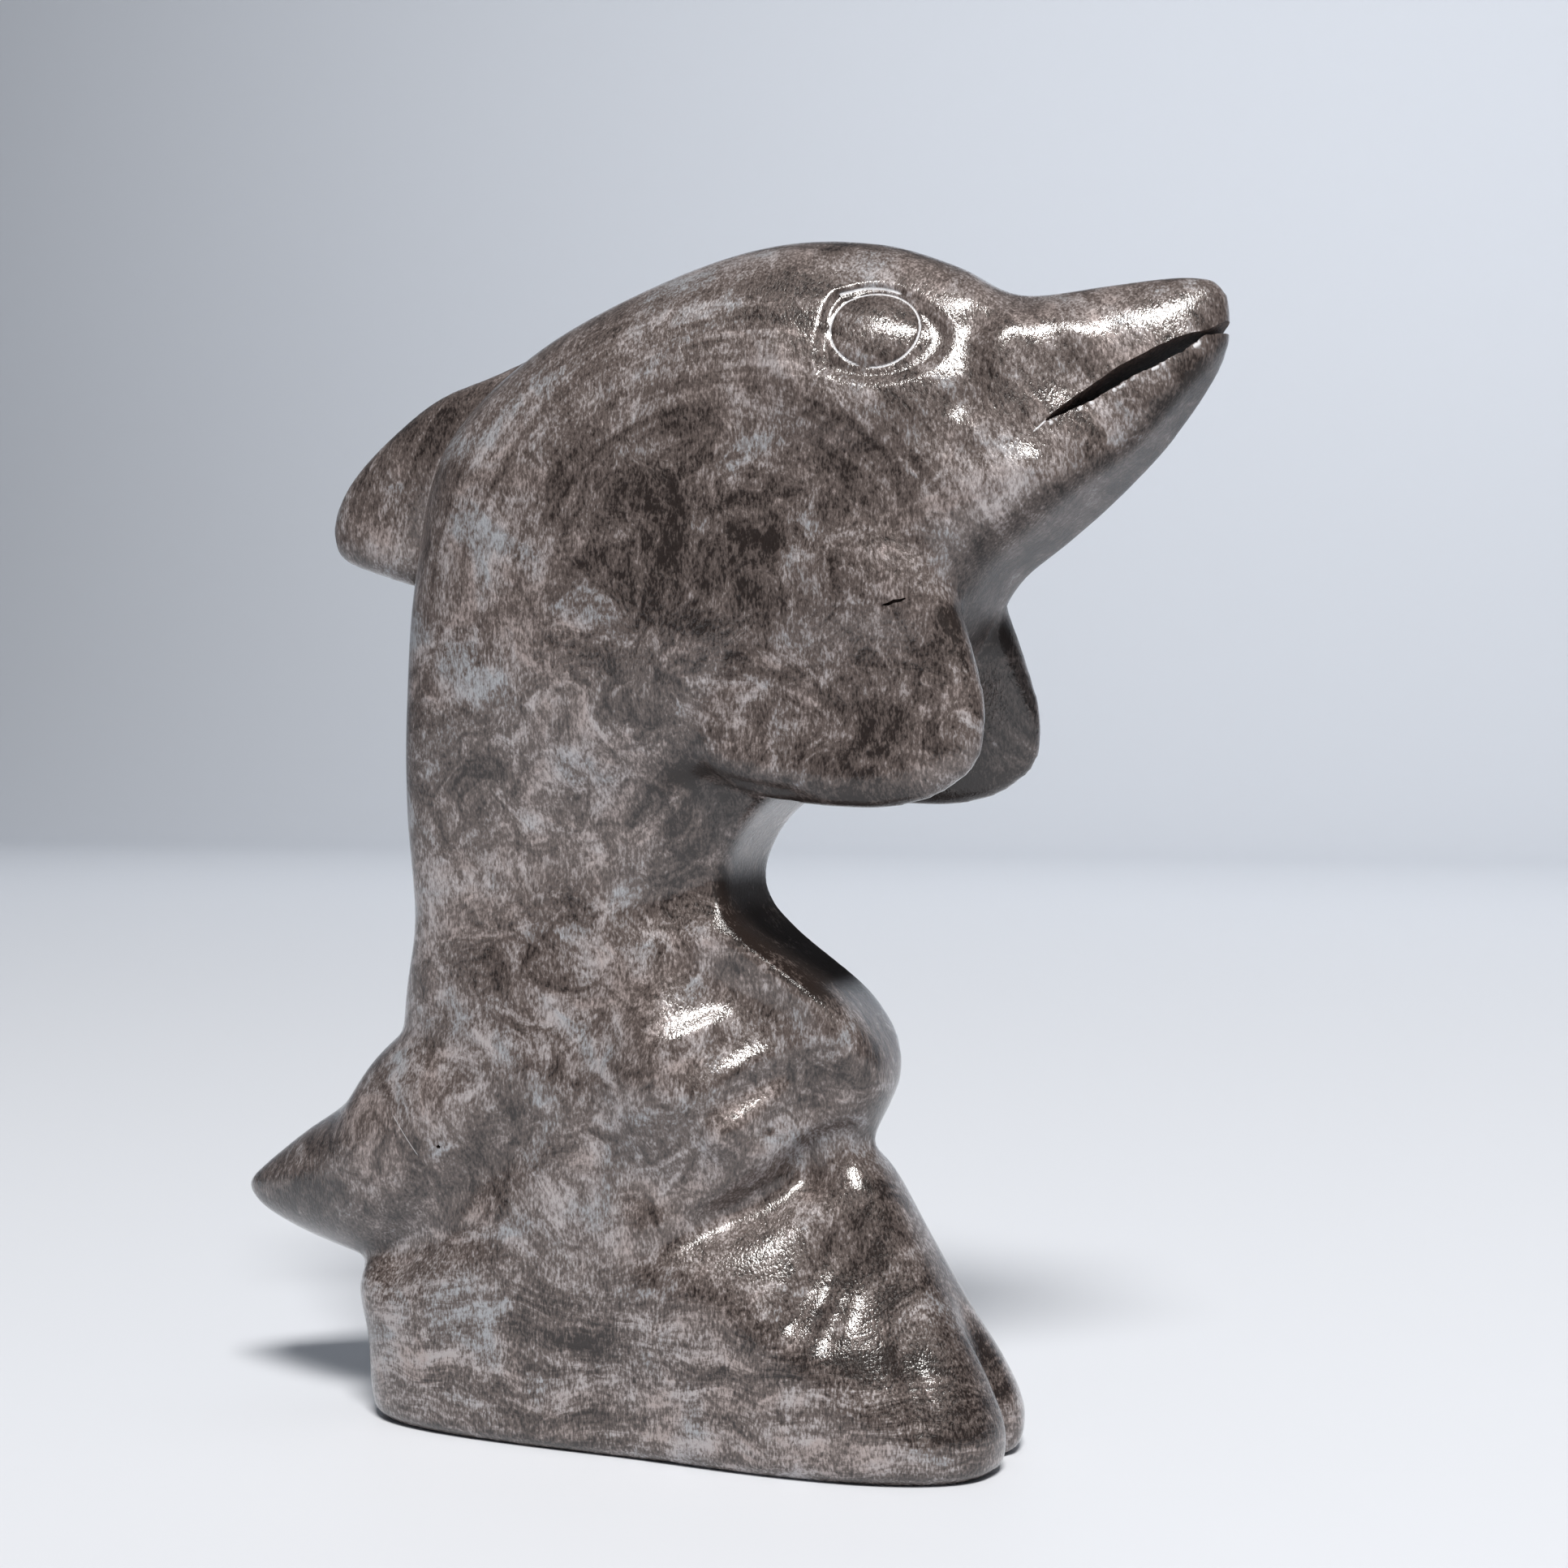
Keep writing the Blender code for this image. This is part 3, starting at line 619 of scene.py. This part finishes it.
def eye_frame(tree, side):
    """Middle of an eye on the skin, and its forward and upward directions along the skin."""
    start = Vector((EYE_PLACE[0], side * RAY_START, EYE_PLACE[1]))
    middle, outward = tree.ray_cast(start, Vector((0, -side, 0)))[:2]
    outward = np.array(outward)
    forward = np.array([1.0, 0, 0]) - outward[0] * outward
    forward /= np.linalg.norm(forward)
    upward = np.array([0, 0, 1.0]) - outward[2] * outward
    upward -= (upward @ forward) * forward
    upward /= np.linalg.norm(upward)
    return np.array(middle), forward, upward


def shades(points, normals):
    """How much lighter or darker the skin is drawn: by bell curves round the listed places, with painted
    shade among them, and painted shade below, on the skin turned to the middle and in bands beside the
    listed paths; and how little polished it is, by bell curves beside those paths."""
    x, y, z = points.T
    # painted shade on the skin that faces down
    total = -UNDERSIDE_SHADE * smooth_step(-2 * normals[:, 2])
    # painted shade on the skin turned to the middle, as between the breast fins
    total -= INNER_SHADE * smooth_step(-2 * np.sign(y) * normals[:, 1])
    for (place_x, place_z), (half_x, half_z), strength in SHADES:
        total += strength * bell(np.hypot((x - place_x) / half_x, (z - place_z) / half_z), 1.0)
    dull = np.zeros(len(points))
    for path, half_width, lost, darker, facing in DULL_SHADED_BANDS:
        path = np.array(path)
        off = np.full(len(points), np.inf)
        for start, stop in zip(path, path[1:]):
            run = stop - start
            along = np.clip(((x - start[0]) * run[0] + (z - start[1]) * run[1]) / (run @ run), 0, 1)
            off = np.minimum(off, np.hypot(x - start[0] - along * run[0], z - start[1] - along * run[1]))
        turned = facing + DULL_TURN[0] - DULL_TURN[1] * np.abs(normals[:, 1])
        near = bell(off, half_width) * smooth_step(turned)
        dull = np.maximum(dull, lost * near)
        # each band's painted shade
        total -= darker * near
    return total, dull


def socket_reach(angle):
    """The socket's outline: straight spans of the distance between the listed angles."""
    degrees, distances = np.array(SOCKET).T
    return np.interp(np.degrees(angle), degrees, distances)


def engraved(mesh):
    """Carve each eye. u and v are the places along the skin from the eye's middle, r the distance and
    R the socket's outline. The skin sinks by a smooth step of R less r, and rises again inside by a dome
    of 1 less the square of r over the dome's foot. It sinks by bell curves along the ring and the brow.
    Both lines, the chipped lip and the line before the mouth's corner are kept as the frost attribute,
    and the skin's tone with its painted shade, and its loss of polish, as two more."""
    tree = ray_tree(mesh)
    points = read("co", mesh.vertices)
    normals = read("normal", mesh.vertices)
    frost = np.zeros(len(points))
    rise = np.zeros(len(points))
    for side in (-1, 1):
        middle, forward, upward = eye_frame(tree, side)
        offset = points - middle
        near = (np.linalg.norm(offset, axis=1) < EYE_NEAR * EYE_RADIUS) & (points[:, 1] * side > 0)
        u = offset @ forward
        v = offset @ upward / EYE_SQUASH
        r = np.hypot(u, v)
        angle = np.arctan2(v, u)
        reach = socket_reach(angle)
        edge = np.interp(np.sin(angle - SOCKET_TURN), (-1, 1), SOCKET_EDGE)
        socket = smooth_step((reach - r) / (2 * edge) + 0.5)
        dome = np.clip(1 - (r / (reach - DOME_INSET)) ** 2, 0, None)
        gap_place, gap_half, gap_share = RING_GAP
        gap = gap_share * bell(np.degrees(angle) - gap_place, gap_half)
        ring = bell(r - EYE_RADIUS, LINE_HALF_WIDTH) * (1 - gap)
        fore_end = smooth_step((angle - BROW_SPAN[0]) / BROW_FADE[0])
        rear_end = smooth_step((BROW_SPAN[1] - angle) / BROW_FADE[1])
        brow = bell(r - reach, LINE_HALF_WIDTH) * (fore_end * rear_end)
        line = near * np.maximum(ring, brow)
        rise += near * (EYE_DOME * dome - SOCKET_DEPTH * socket) - RING_DEPTH * line
        frost = np.maximum(frost, line)
    along, above = beside_mouth(points[:, 0], points[:, 2])
    half = np.interp(along, *mouth_widths())
    chipped = smooth_step(CHIP_SHARE[0] + CHIP_SHARE[1] * rough_line(along, SEED + 1, CHIP_PITCH))
    lip = bell(above + half + CHIP_BAND[0], CHIP_BAND[1]) * chipped
    tail = bell(above, TAIL_HALF_WIDTH) * (along < 0)
    frost = np.maximum(frost, np.where(along > 0, CHIP_FROST * lip, tail))
    points += normals * rise[:, None]
    mesh.vertices.foreach_set("co", points.ravel())
    mesh.update()
    shade, dull = shades(points, normals)
    for name, values in (("frost", frost), ("shade", shade), ("dull", dull)):
        kept = mesh.attributes.new(name, "FLOAT", "POINT")
        kept.data.foreach_set("value", values.astype(np.float32))
    return mesh


def rough_line(place, seed, scale):
    """Uneven line: a sum of sines of the place, of growing pitch and falling height."""
    draw = np.random.default_rng(seed)
    total = np.zeros_like(place)
    for wave in range(LINE_WAVES):
        pitch = scale * WAVE_GROWTH ** wave
        total += np.sin(place * pitch + draw.uniform(0, 2 * math.pi)) / WAVE_FALL ** wave
    return total / WAVE_SUM


def mouth_widths():
    """Distance from the mouth's corner and half width of the saw cut at each listed place."""
    x, z, half = np.array(MOUTH).T
    return np.concatenate([[0.0], np.cumsum(np.hypot(np.diff(x), np.diff(z)))]), half


def mouth_saw(tree):
    """The saw cut, as a closed grid. v runs across the beak, in finer steps at the skin, and u round the
    cut's outline: along the lower lip from the corner out past the tip, and back along the upper. Each
    lip is the middle line, moved square to it by the half width, an uneven line and a flare that falls
    off exponentially under the skin. The lower lip is chipped there."""
    reached, widths = mouth_widths()
    s = np.concatenate([np.linspace(0.0, reached[-2], SAW_STEPS), [reached[-1]]])
    x_mid, z_mid = (np.interp(s, reached, column) for column in np.array(MOUTH).T[:2])
    half = np.interp(s, reached, widths)[None, :]
    way = np.unwrap(np.arctan2(np.gradient(z_mid, s), np.gradient(x_mid, s)))
    skin = []
    for x, z in zip(x_mid, z_mid):
        hit = tree.ray_cast(Vector((x, -RAY_START, z)), Vector((0, 1, 0)))[0]
        skin.append(-hit.y if hit else skin[-1])
    skin = np.maximum(skin, TIP_HALF)[None, :]
    near_skin = np.linspace(*SAW_NEAR_SKIN)
    share = np.concatenate([[-SAW_OUTSIDE], -near_skin[::-1], np.linspace(*SAW_INSIDE), near_skin,
                            [SAW_OUTSIDE]])[:, None]
    y = share * skin
    at_skin = np.exp(-np.clip(skin - np.abs(y), 0.0, None) / FLARE_REACH)
    s = s[None, :]
    full = np.clip(half / FULL_HALF, 0.0, 1.0)
    chips = np.clip(rough_line(s + CHIP_SLANT * y, SEED + 1, CHIP_PITCH), 0, None) * at_skin * full
    flare = LIP_FLARE * at_skin
    upper_waves = rough_line(s + UPPER_WAVES[0] * y, SEED, UPPER_WAVES[1])
    lower_waves = rough_line(s + LOWER_WAVES[0] * y, SEED + 2, LOWER_WAVES[1])
    upper = half + full * (SAW_WANDER * upper_waves + flare)
    lower = half + full * (SAW_WANDER * lower_waves + flare) + LIP_CHIPS * chips
    sine, cosine = np.sin(way)[None, :], np.cos(way)[None, :]
    low = np.stack([x_mid + lower * sine, y + 0 * s, z_mid - lower * cosine], axis=-1)
    high = np.stack([x_mid - upper * sine, y + 0 * s, z_mid + upper * cosine], axis=-1)
    return np.concatenate([low, high[:, ::-1]], axis=1)


def lens_grid(tree, start, stop, width):
    """A short blade for a crack in the near flank: v runs into the stone from outside the skin, u round
    a pointed oval between two places."""
    u = np.linspace(0, 2 * math.pi, CUT_POINTS, endpoint=False)[None, :]
    run = np.array(stop) - np.array(start)
    length = np.linalg.norm(run)
    run = run / length
    skin = tree.ray_cast(Vector((start[0], -RAY_START, start[1])), Vector((0, 1, 0)))[0].y
    v = np.array([skin + CUT_DEPTH, skin - CUT_START])[:, None]
    along = (0.5 - 0.5 * np.cos(u)) * length
    across = np.sin(u) * width / 2 * (1 + CUT_RAGGED * np.sin(5 * u))
    x = start[0] + along * run[0] - across * run[1] + 0 * v
    z = start[1] + along * run[1] + across * run[0] + 0 * v
    return np.stack([x, v + 0 * u, z], axis=-1)


def closed_form(name, grid, material):
    """An object from one closed grid, with its faces pointing out."""
    mesh = bpy.data.meshes.new(name)
    mesh.from_pydata((grid.reshape(-1, 3) * UNIT).tolist(), [], grid_faces(grid.shape[0], grid.shape[1], 0))
    shape = bmesh.new()
    shape.from_mesh(mesh)
    bmesh.ops.recalc_face_normals(shape, faces=shape.faces)
    shape.to_mesh(mesh)
    shape.free()
    mesh.materials.append(material)
    item = bpy.data.objects.new(name, mesh)
    bpy.context.scene.collection.objects.link(item)
    return item


def floor_grid():
    """A block below the underside, as a grid of two square rings."""
    reach = 60.0
    corners = np.array([(-1, -1), (1, -1), (1, 1), (-1, 1)]) * reach
    rings = [np.column_stack([corners, np.full(4, height)]) for height in (-reach, 0.0)]
    return np.array(rings)


def cut_out(piece, tools):
    """Take the tools out of the piece, one after the other, and keep the result as its mesh."""
    for tool in tools:
        boolean = piece.modifiers.new(tool.name, "BOOLEAN")
        boolean.operation = "DIFFERENCE"
        boolean.solver = "EXACT"
        boolean.material_mode = "TRANSFER"
        boolean.object = tool
    graph = bpy.context.evaluated_depsgraph_get()
    done = bpy.data.meshes.new_from_object(piece.evaluated_get(graph))
    piece.modifiers.clear()
    piece.data = done
    for tool in tools:
        bpy.data.objects.remove(tool, do_unlink=True)


def node(tree, kind, **settings):
    """A shader node with its settings."""
    made = tree.nodes.new("ShaderNode" + kind)
    for name, value in settings.items():
        setattr(made, name, value)
    return made


def feed(tree, made, **inputs):
    """Link or set a node's inputs by name, and give its first output."""
    for name, value in inputs.items():
        key = int(name[1:]) if name[1:].isdigit() else name.replace("_", " ")
        socket = made.inputs[key]
        if isinstance(value, bpy.types.NodeSocket):
            tree.links.new(value, socket)
        else:
            socket.default_value = value
    return made.outputs[0]


def maths(tree, operation, a, b=0.0, clamp=False):
    """One sum on one or two values."""
    return feed(tree, node(tree, "Math", operation=operation, use_clamp=clamp), _0=a, _1=b)


def scaled(tree, value, gain):
    """A value times another."""
    return maths(tree, "MULTIPLY", value, gain)


def cloud(tree, vector, scale, detail, roughness, distortion=0.0):
    """Noise from 0 to 1."""
    return feed(tree, node(tree, "TexNoise"), Vector=vector, Scale=scale, Detail=detail,
                Roughness=roughness, Distortion=distortion)


def spread(tree, value, low, high):
    """The value stretched so that low gives 0 and high gives 1, smoothly, and no further."""
    made = node(tree, "MapRange", interpolation_type="SMOOTHSTEP")
    return feed(tree, made, Value=value, From_Min=low, From_Max=high)


def ramp(tree, value, low, high):
    """The value stretched so that low gives 0 and high gives 1, in a straight line, and no further."""
    return feed(tree, node(tree, "MapRange"), Value=value, From_Min=low, From_Max=high)


def blended(tree, share, a, b):
    """Colour b over colour a by a share."""
    made = node(tree, "Mix", data_type="RGBA")
    for key, value in ((0, share), (6, a), (7, b)):
        if isinstance(value, bpy.types.NodeSocket):
            tree.links.new(value, made.inputs[key])
        else:
            made.inputs[key].default_value = value
    return made.outputs[2]


def stretched(tree, vector, x, y, z):
    """The vector with each axis scaled, so that a pattern is stretched where the scale is small."""
    return feed(tree, node(tree, "Mapping"), Vector=vector, Scale=(x, y, z))


def line_share(tree, x, z, start, stop):
    """How near a place is to the line between two places: from 1 on it to nought beside it."""
    run = np.array(stop) - np.array(start)
    length = float(np.linalg.norm(run))
    run = run / length
    across = maths(tree, "SUBTRACT", x, start[0])
    up = maths(tree, "SUBTRACT", z, start[1])
    along = maths(tree, "ADD", scaled(tree, across, run[0]), scaled(tree, up, run[1]))
    off = maths(tree, "SUBTRACT", scaled(tree, up, run[0]), scaled(tree, across, run[1]))
    middle = maths(tree, "ABSOLUTE", maths(tree, "SUBTRACT", along, length / 2))
    return maths(tree, "MULTIPLY", ramp(tree, maths(tree, "ABSOLUTE", off), *SCRATCH_EDGES),
                 ramp(tree, middle, length / 2, length / 3))


def bumped(tree, height, strength, distance, socket):
    """Fine relief from a pattern into a normal's socket, with its strength and its height in metres."""
    bump = feed(tree, node(tree, "Bump"), Strength=strength, Distance=distance, Height=height)
    tree.links.new(bump, socket)


def new_material(name):
    """A material with its nodes and its shader."""
    material = bpy.data.materials.new(name)
    material.use_nodes = True
    return material, material.node_tree, material.node_tree.nodes["Principled BSDF"]


def drawing_place(tree):
    """The place on the carving, in units of the drawing."""
    return stretched(tree, node(tree, "TexCoord").outputs["Object"], 1 / UNIT, 1 / UNIT, 1 / UNIT)


def mixed(tree, share, a, b):
    """Value b over value a by a share."""
    return feed(tree, node(tree, "Mix"), Factor=share, A=a, B=b)


def polished_stone():
    """Dark mottled stone with silvery flecks under a hard polish. The tone is a sum of noises: clouds,
    patches, upright grain and flecks, with rings of tone round the chest and flat beds in the rock, and the
    shade attribute, which carries painted shade."""
    material, tree, shader = new_material("polished_stone")
    place = drawing_place(tree)
    drift = node(tree, "TexNoise")
    feed(tree, drift, Vector=place, Scale=DRIFT_NOISE[0], Detail=DRIFT_NOISE[1])
    shift = node(tree, "VectorMath", operation="MULTIPLY_ADD")
    swirled = feed(tree, shift, _0=drift.outputs["Color"], _1=(DRIFT, DRIFT, DRIFT), _2=place)

    clouds = cloud(tree, swirled, *CLOUD_NOISE)
    patches = cloud(tree, swirled, *PATCH_NOISE)
    grain = cloud(tree, stretched(tree, swirled, *GRAIN_SCALE), *GRAIN_NOISE)
    flecks = cloud(tree, stretched(tree, place, *FLECK_SCALE), *FLECK_NOISE)

    parts = node(tree, "SeparateXYZ")
    feed(tree, parts, Vector=place)
    x, y, z = parts.outputs
    from_x = maths(tree, "SUBTRACT", x, SWIRL_CENTRE[0])
    from_z = maths(tree, "SUBTRACT", z, SWIRL_CENTRE[1])
    flat = feed(tree, node(tree, "CombineXYZ"), X=from_x, Y=from_z, Z=0.0)
    length = node(tree, "VectorMath", operation="LENGTH")
    tree.links.new(flat, length.inputs[0])
    radius = length.outputs["Value"]
    angle = maths(tree, "ARCTAN2", from_z, from_x)
    ring_place = feed(tree, node(tree, "CombineXYZ"), X=scaled(tree, radius, RING_SCALE[0]),
                      Y=scaled(tree, angle, RING_SCALE[1]), Z=scaled(tree, y, RING_SCALE[2]))
    rings = cloud(tree, ring_place, *RING_NOISE)
    ring_share = scaled(tree, spread(tree, radius, *RING_RADII), spread(tree, from_z, *RING_HEIGHTS))
    beds = cloud(tree, stretched(tree, swirled, *BED_SCALE), *BED_NOISE)
    bed_share = spread(tree, z, *BED_HEIGHTS)
    laid = cloud(tree, stretched(tree, swirled, *LAID_SCALE), *GRAIN_NOISE)
    grain = mixed(tree, scaled(tree, bed_share, BED_SHARE), grain, laid)
    patches = mixed(tree, scaled(tree, ring_share, RING_SHARE), patches, rings)
    patches = mixed(tree, scaled(tree, bed_share, BED_SHARE), patches, beds)

    core = scaled(tree, spread(tree, radius, *CORE_RADII), SWIRL_CORE)
    from_band = maths(tree, "ABSOLUTE", maths(tree, "SUBTRACT", radius, SWIRL_BAND))
    band = scaled(tree, spread(tree, from_band, *BAND_EDGES), spread(tree, from_x, *BAND_FRONT))
    band = scaled(tree, scaled(tree, band, spread(tree, from_z, *BAND_FOOT)), BAND_TONE)
    mottle = 0.0
    gains = (CLOUD_GAIN, PATCH_GAIN, GRAIN_GAIN, FLECK_GAIN)
    for part, gain in zip((clouds, patches, grain, flecks), gains):
        mottle = maths(tree, "ADD", mottle, scaled(tree, maths(tree, "SUBTRACT", part, 0.5), gain))
    mottle = scaled(tree, mottle, maths(tree, "ADD", 1.0, scaled(tree, bed_share, BED_CONTRAST)))
    # the shade attribute: the stone's lighter and darker places, and painted shade
    shade = node(tree, "Attribute", attribute_name="shade").outputs["Fac"]
    tone = maths(tree, "ADD", maths(tree, "ADD", MIDDLE_TONE, core), band)
    tone = maths(tree, "ADD", maths(tree, "ADD", tone, shade), mottle)

    tints = cloud(tree, swirled, *TINT_NOISE)
    light = blended(tree, spread(tree, tints, *ROSE_TINTS), ROSE_STONE, LIGHT_STONE)
    light = blended(tree, spread(tree, tints, *BLUE_TINTS), light, BLUE_STONE)
    colour = blended(tree, ramp(tree, tone, *DARK_TONES), DARK_STONE, MID_STONE)
    colour = blended(tree, ramp(tree, tone, *LIGHT_TONES), colour, light)
    frost = node(tree, "Attribute", attribute_name="frost").outputs["Fac"]
    near_flank = ramp(tree, y, 0.0, -1.0)
    scratch = scaled(tree, line_share(tree, x, z, *SCRATCH), near_flank)
    frost = maths(tree, "MAXIMUM", frost, scaled(tree, scratch, SCRATCH_FROST))
    colour = blended(tree, spread(tree, frost, *FROST_EDGES), colour, FROST)
    tree.links.new(colour, shader.inputs["Base Color"])

    silver = scaled(tree, ramp(tree, tone, *SILVER_TONES), SILVER)
    tree.links.new(silver, shader.inputs["Metallic"])
    rough = maths(tree, "ADD", ROUGH[0], scaled(tree, flecks, ROUGH[1]))
    dull = node(tree, "Attribute", attribute_name="dull").outputs["Fac"]
    matt = maths(tree, "MAXIMUM", scaled(tree, frost, FROST_ROUGH), scaled(tree, dull, DULL_ROUGH))
    tree.links.new(maths(tree, "ADD", rough, matt, clamp=True), shader.inputs["Roughness"])
    tree.links.new(maths(tree, "SUBTRACT", 1.0, dull), shader.inputs["Coat Weight"])
    relief = maths(tree, "ADD", flecks, grain)
    bumped(tree, relief, *STONE_RELIEF, shader.inputs["Normal"])
    bumped(tree, relief, *POLISH_RELIEF, shader.inputs["Coat Normal"])
    shader.inputs["Specular IOR Level"].default_value = 0.25
    shader.inputs["IOR"].default_value = 1.5
    shader.inputs["Coat Roughness"].default_value = 0.03
    shader.inputs["Coat IOR"].default_value = 1.5
    return material


def shaded_sawn_stone():
    """Rough sawn stone inside the saw cut, the crack and the pinhole, its dark colour painted shade in
    these narrow recesses.
    """
    material, tree, shader = new_material("shaded_sawn_stone")
    grain = cloud(tree, drawing_place(tree), *SAWN_NOISE)
    colour = blended(tree, spread(tree, grain, *SAWN_TONES), SAWN_SHADE_DARK, SAWN_SHADE_LIGHT)
    tree.links.new(colour, shader.inputs["Base Color"])
    shader.inputs["Roughness"].default_value = 0.7
    bumped(tree, grain, *SAWN_RELIEF, shader.inputs["Normal"])
    return material


def camera():
    """The photograph's view: twenty degrees round towards the beak, level with the belly."""
    view = bpy.data.cameras.new("camera")
    view.sensor_width = SENSOR
    view.lens = CAMERA_LENS
    view.clip_start = 0.005
    item = bpy.data.objects.new("camera", view)
    item.location = CAMERA_PLACE
    item.rotation_euler = CAMERA_TURN
    bpy.context.scene.collection.objects.link(item)
    bpy.context.scene.camera = item


def sweep():
    """Pale paper sweep: a profile of floor, quarter round and wall, carried sideways."""
    turn = np.linspace(0, math.pi / 2, 16)
    across = SWEEP_START + SWEEP_RADIUS * np.sin(turn)
    across = np.concatenate([[FLOOR_FRONT], across, [SWEEP_START + SWEEP_RADIUS]])
    height = np.concatenate([[0.0], SWEEP_RADIUS * (1 - np.cos(turn)), [WALL_TOP]])
    profile = np.column_stack([across, height])
    points = [(side, y, z) for side in (-SWEEP_HALF, SWEEP_HALF) for y, z in profile]
    count = len(profile)
    mesh = bpy.data.meshes.new("sweep")
    mesh.from_pydata(points, [], [(i, count + i, count + i + 1, i + 1) for i in range(count - 1)])
    mesh.shade_smooth()
    paper, _, shader = new_material("paper")
    shader.inputs["Base Color"].default_value = PAPER
    shader.inputs["Roughness"].default_value = 0.6
    mesh.materials.append(paper)
    item = bpy.data.objects.new("sweep", mesh)
    bpy.context.scene.collection.objects.link(item)


def lamp(name, place, aim, width, height, power, colour):
    """A rectangular soft lamp."""
    light = bpy.data.lights.new(name, "AREA")
    light.shape = "RECTANGLE"
    light.size = width
    light.size_y = height
    light.energy = power
    light.color = colour
    item = bpy.data.objects.new(name, light)
    item.location = place
    item.rotation_euler = (Vector(aim) - Vector(place)).to_track_quat("-Z", "Y").to_euler()
    item.visible_camera = False
    bpy.context.scene.collection.objects.link(item)
    return item


def studio():
    """Room light, a lamp above the camera, a wide one overhead and one that washes the wall."""
    world = bpy.data.worlds.new("room")
    world.use_nodes = True
    world.node_tree.nodes["Background"].inputs["Color"].default_value = ROOM_LIGHT
    world.node_tree.nodes["Background"].inputs["Strength"].default_value = ROOM_STRENGTH
    bpy.context.scene.world = world
    for name, *values, mirrored in LAMPS:
        lamp(name, *values).visible_glossy = mirrored


camera()
stone = polished_stone()
# sawn stone for the cuts, its dark colour painted shade
sawn = shaded_sawn_stone()
skin = engraved(finer(carved_skin()))
skin_tree = ray_tree(skin)
skin.transform(Matrix.Scale(UNIT, 4))
skin.materials.append(stone)
dolphin = bpy.data.objects.new("dolphin", skin)
bpy.context.scene.collection.objects.link(dolphin)
cut_out(dolphin, [
    closed_form("floor_cut", floor_grid(), stone),
    closed_form("mouth_cut", mouth_saw(skin_tree), sawn),
    closed_form("crack_cut", lens_grid(skin_tree, *CRACK, CRACK_WIDTH), sawn),
    closed_form("pinhole_cut", lens_grid(skin_tree, *PINHOLE, PINHOLE_WIDTH), sawn),
])
dolphin.data.shade_smooth()
dolphin.data.set_sharp_from_angle(angle=SMOOTH_ANGLE)
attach(dolphin, "root")
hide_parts("dolphin_carving")

sweep()
studio()
bpy.context.scene.view_settings.view_transform = "Standard"
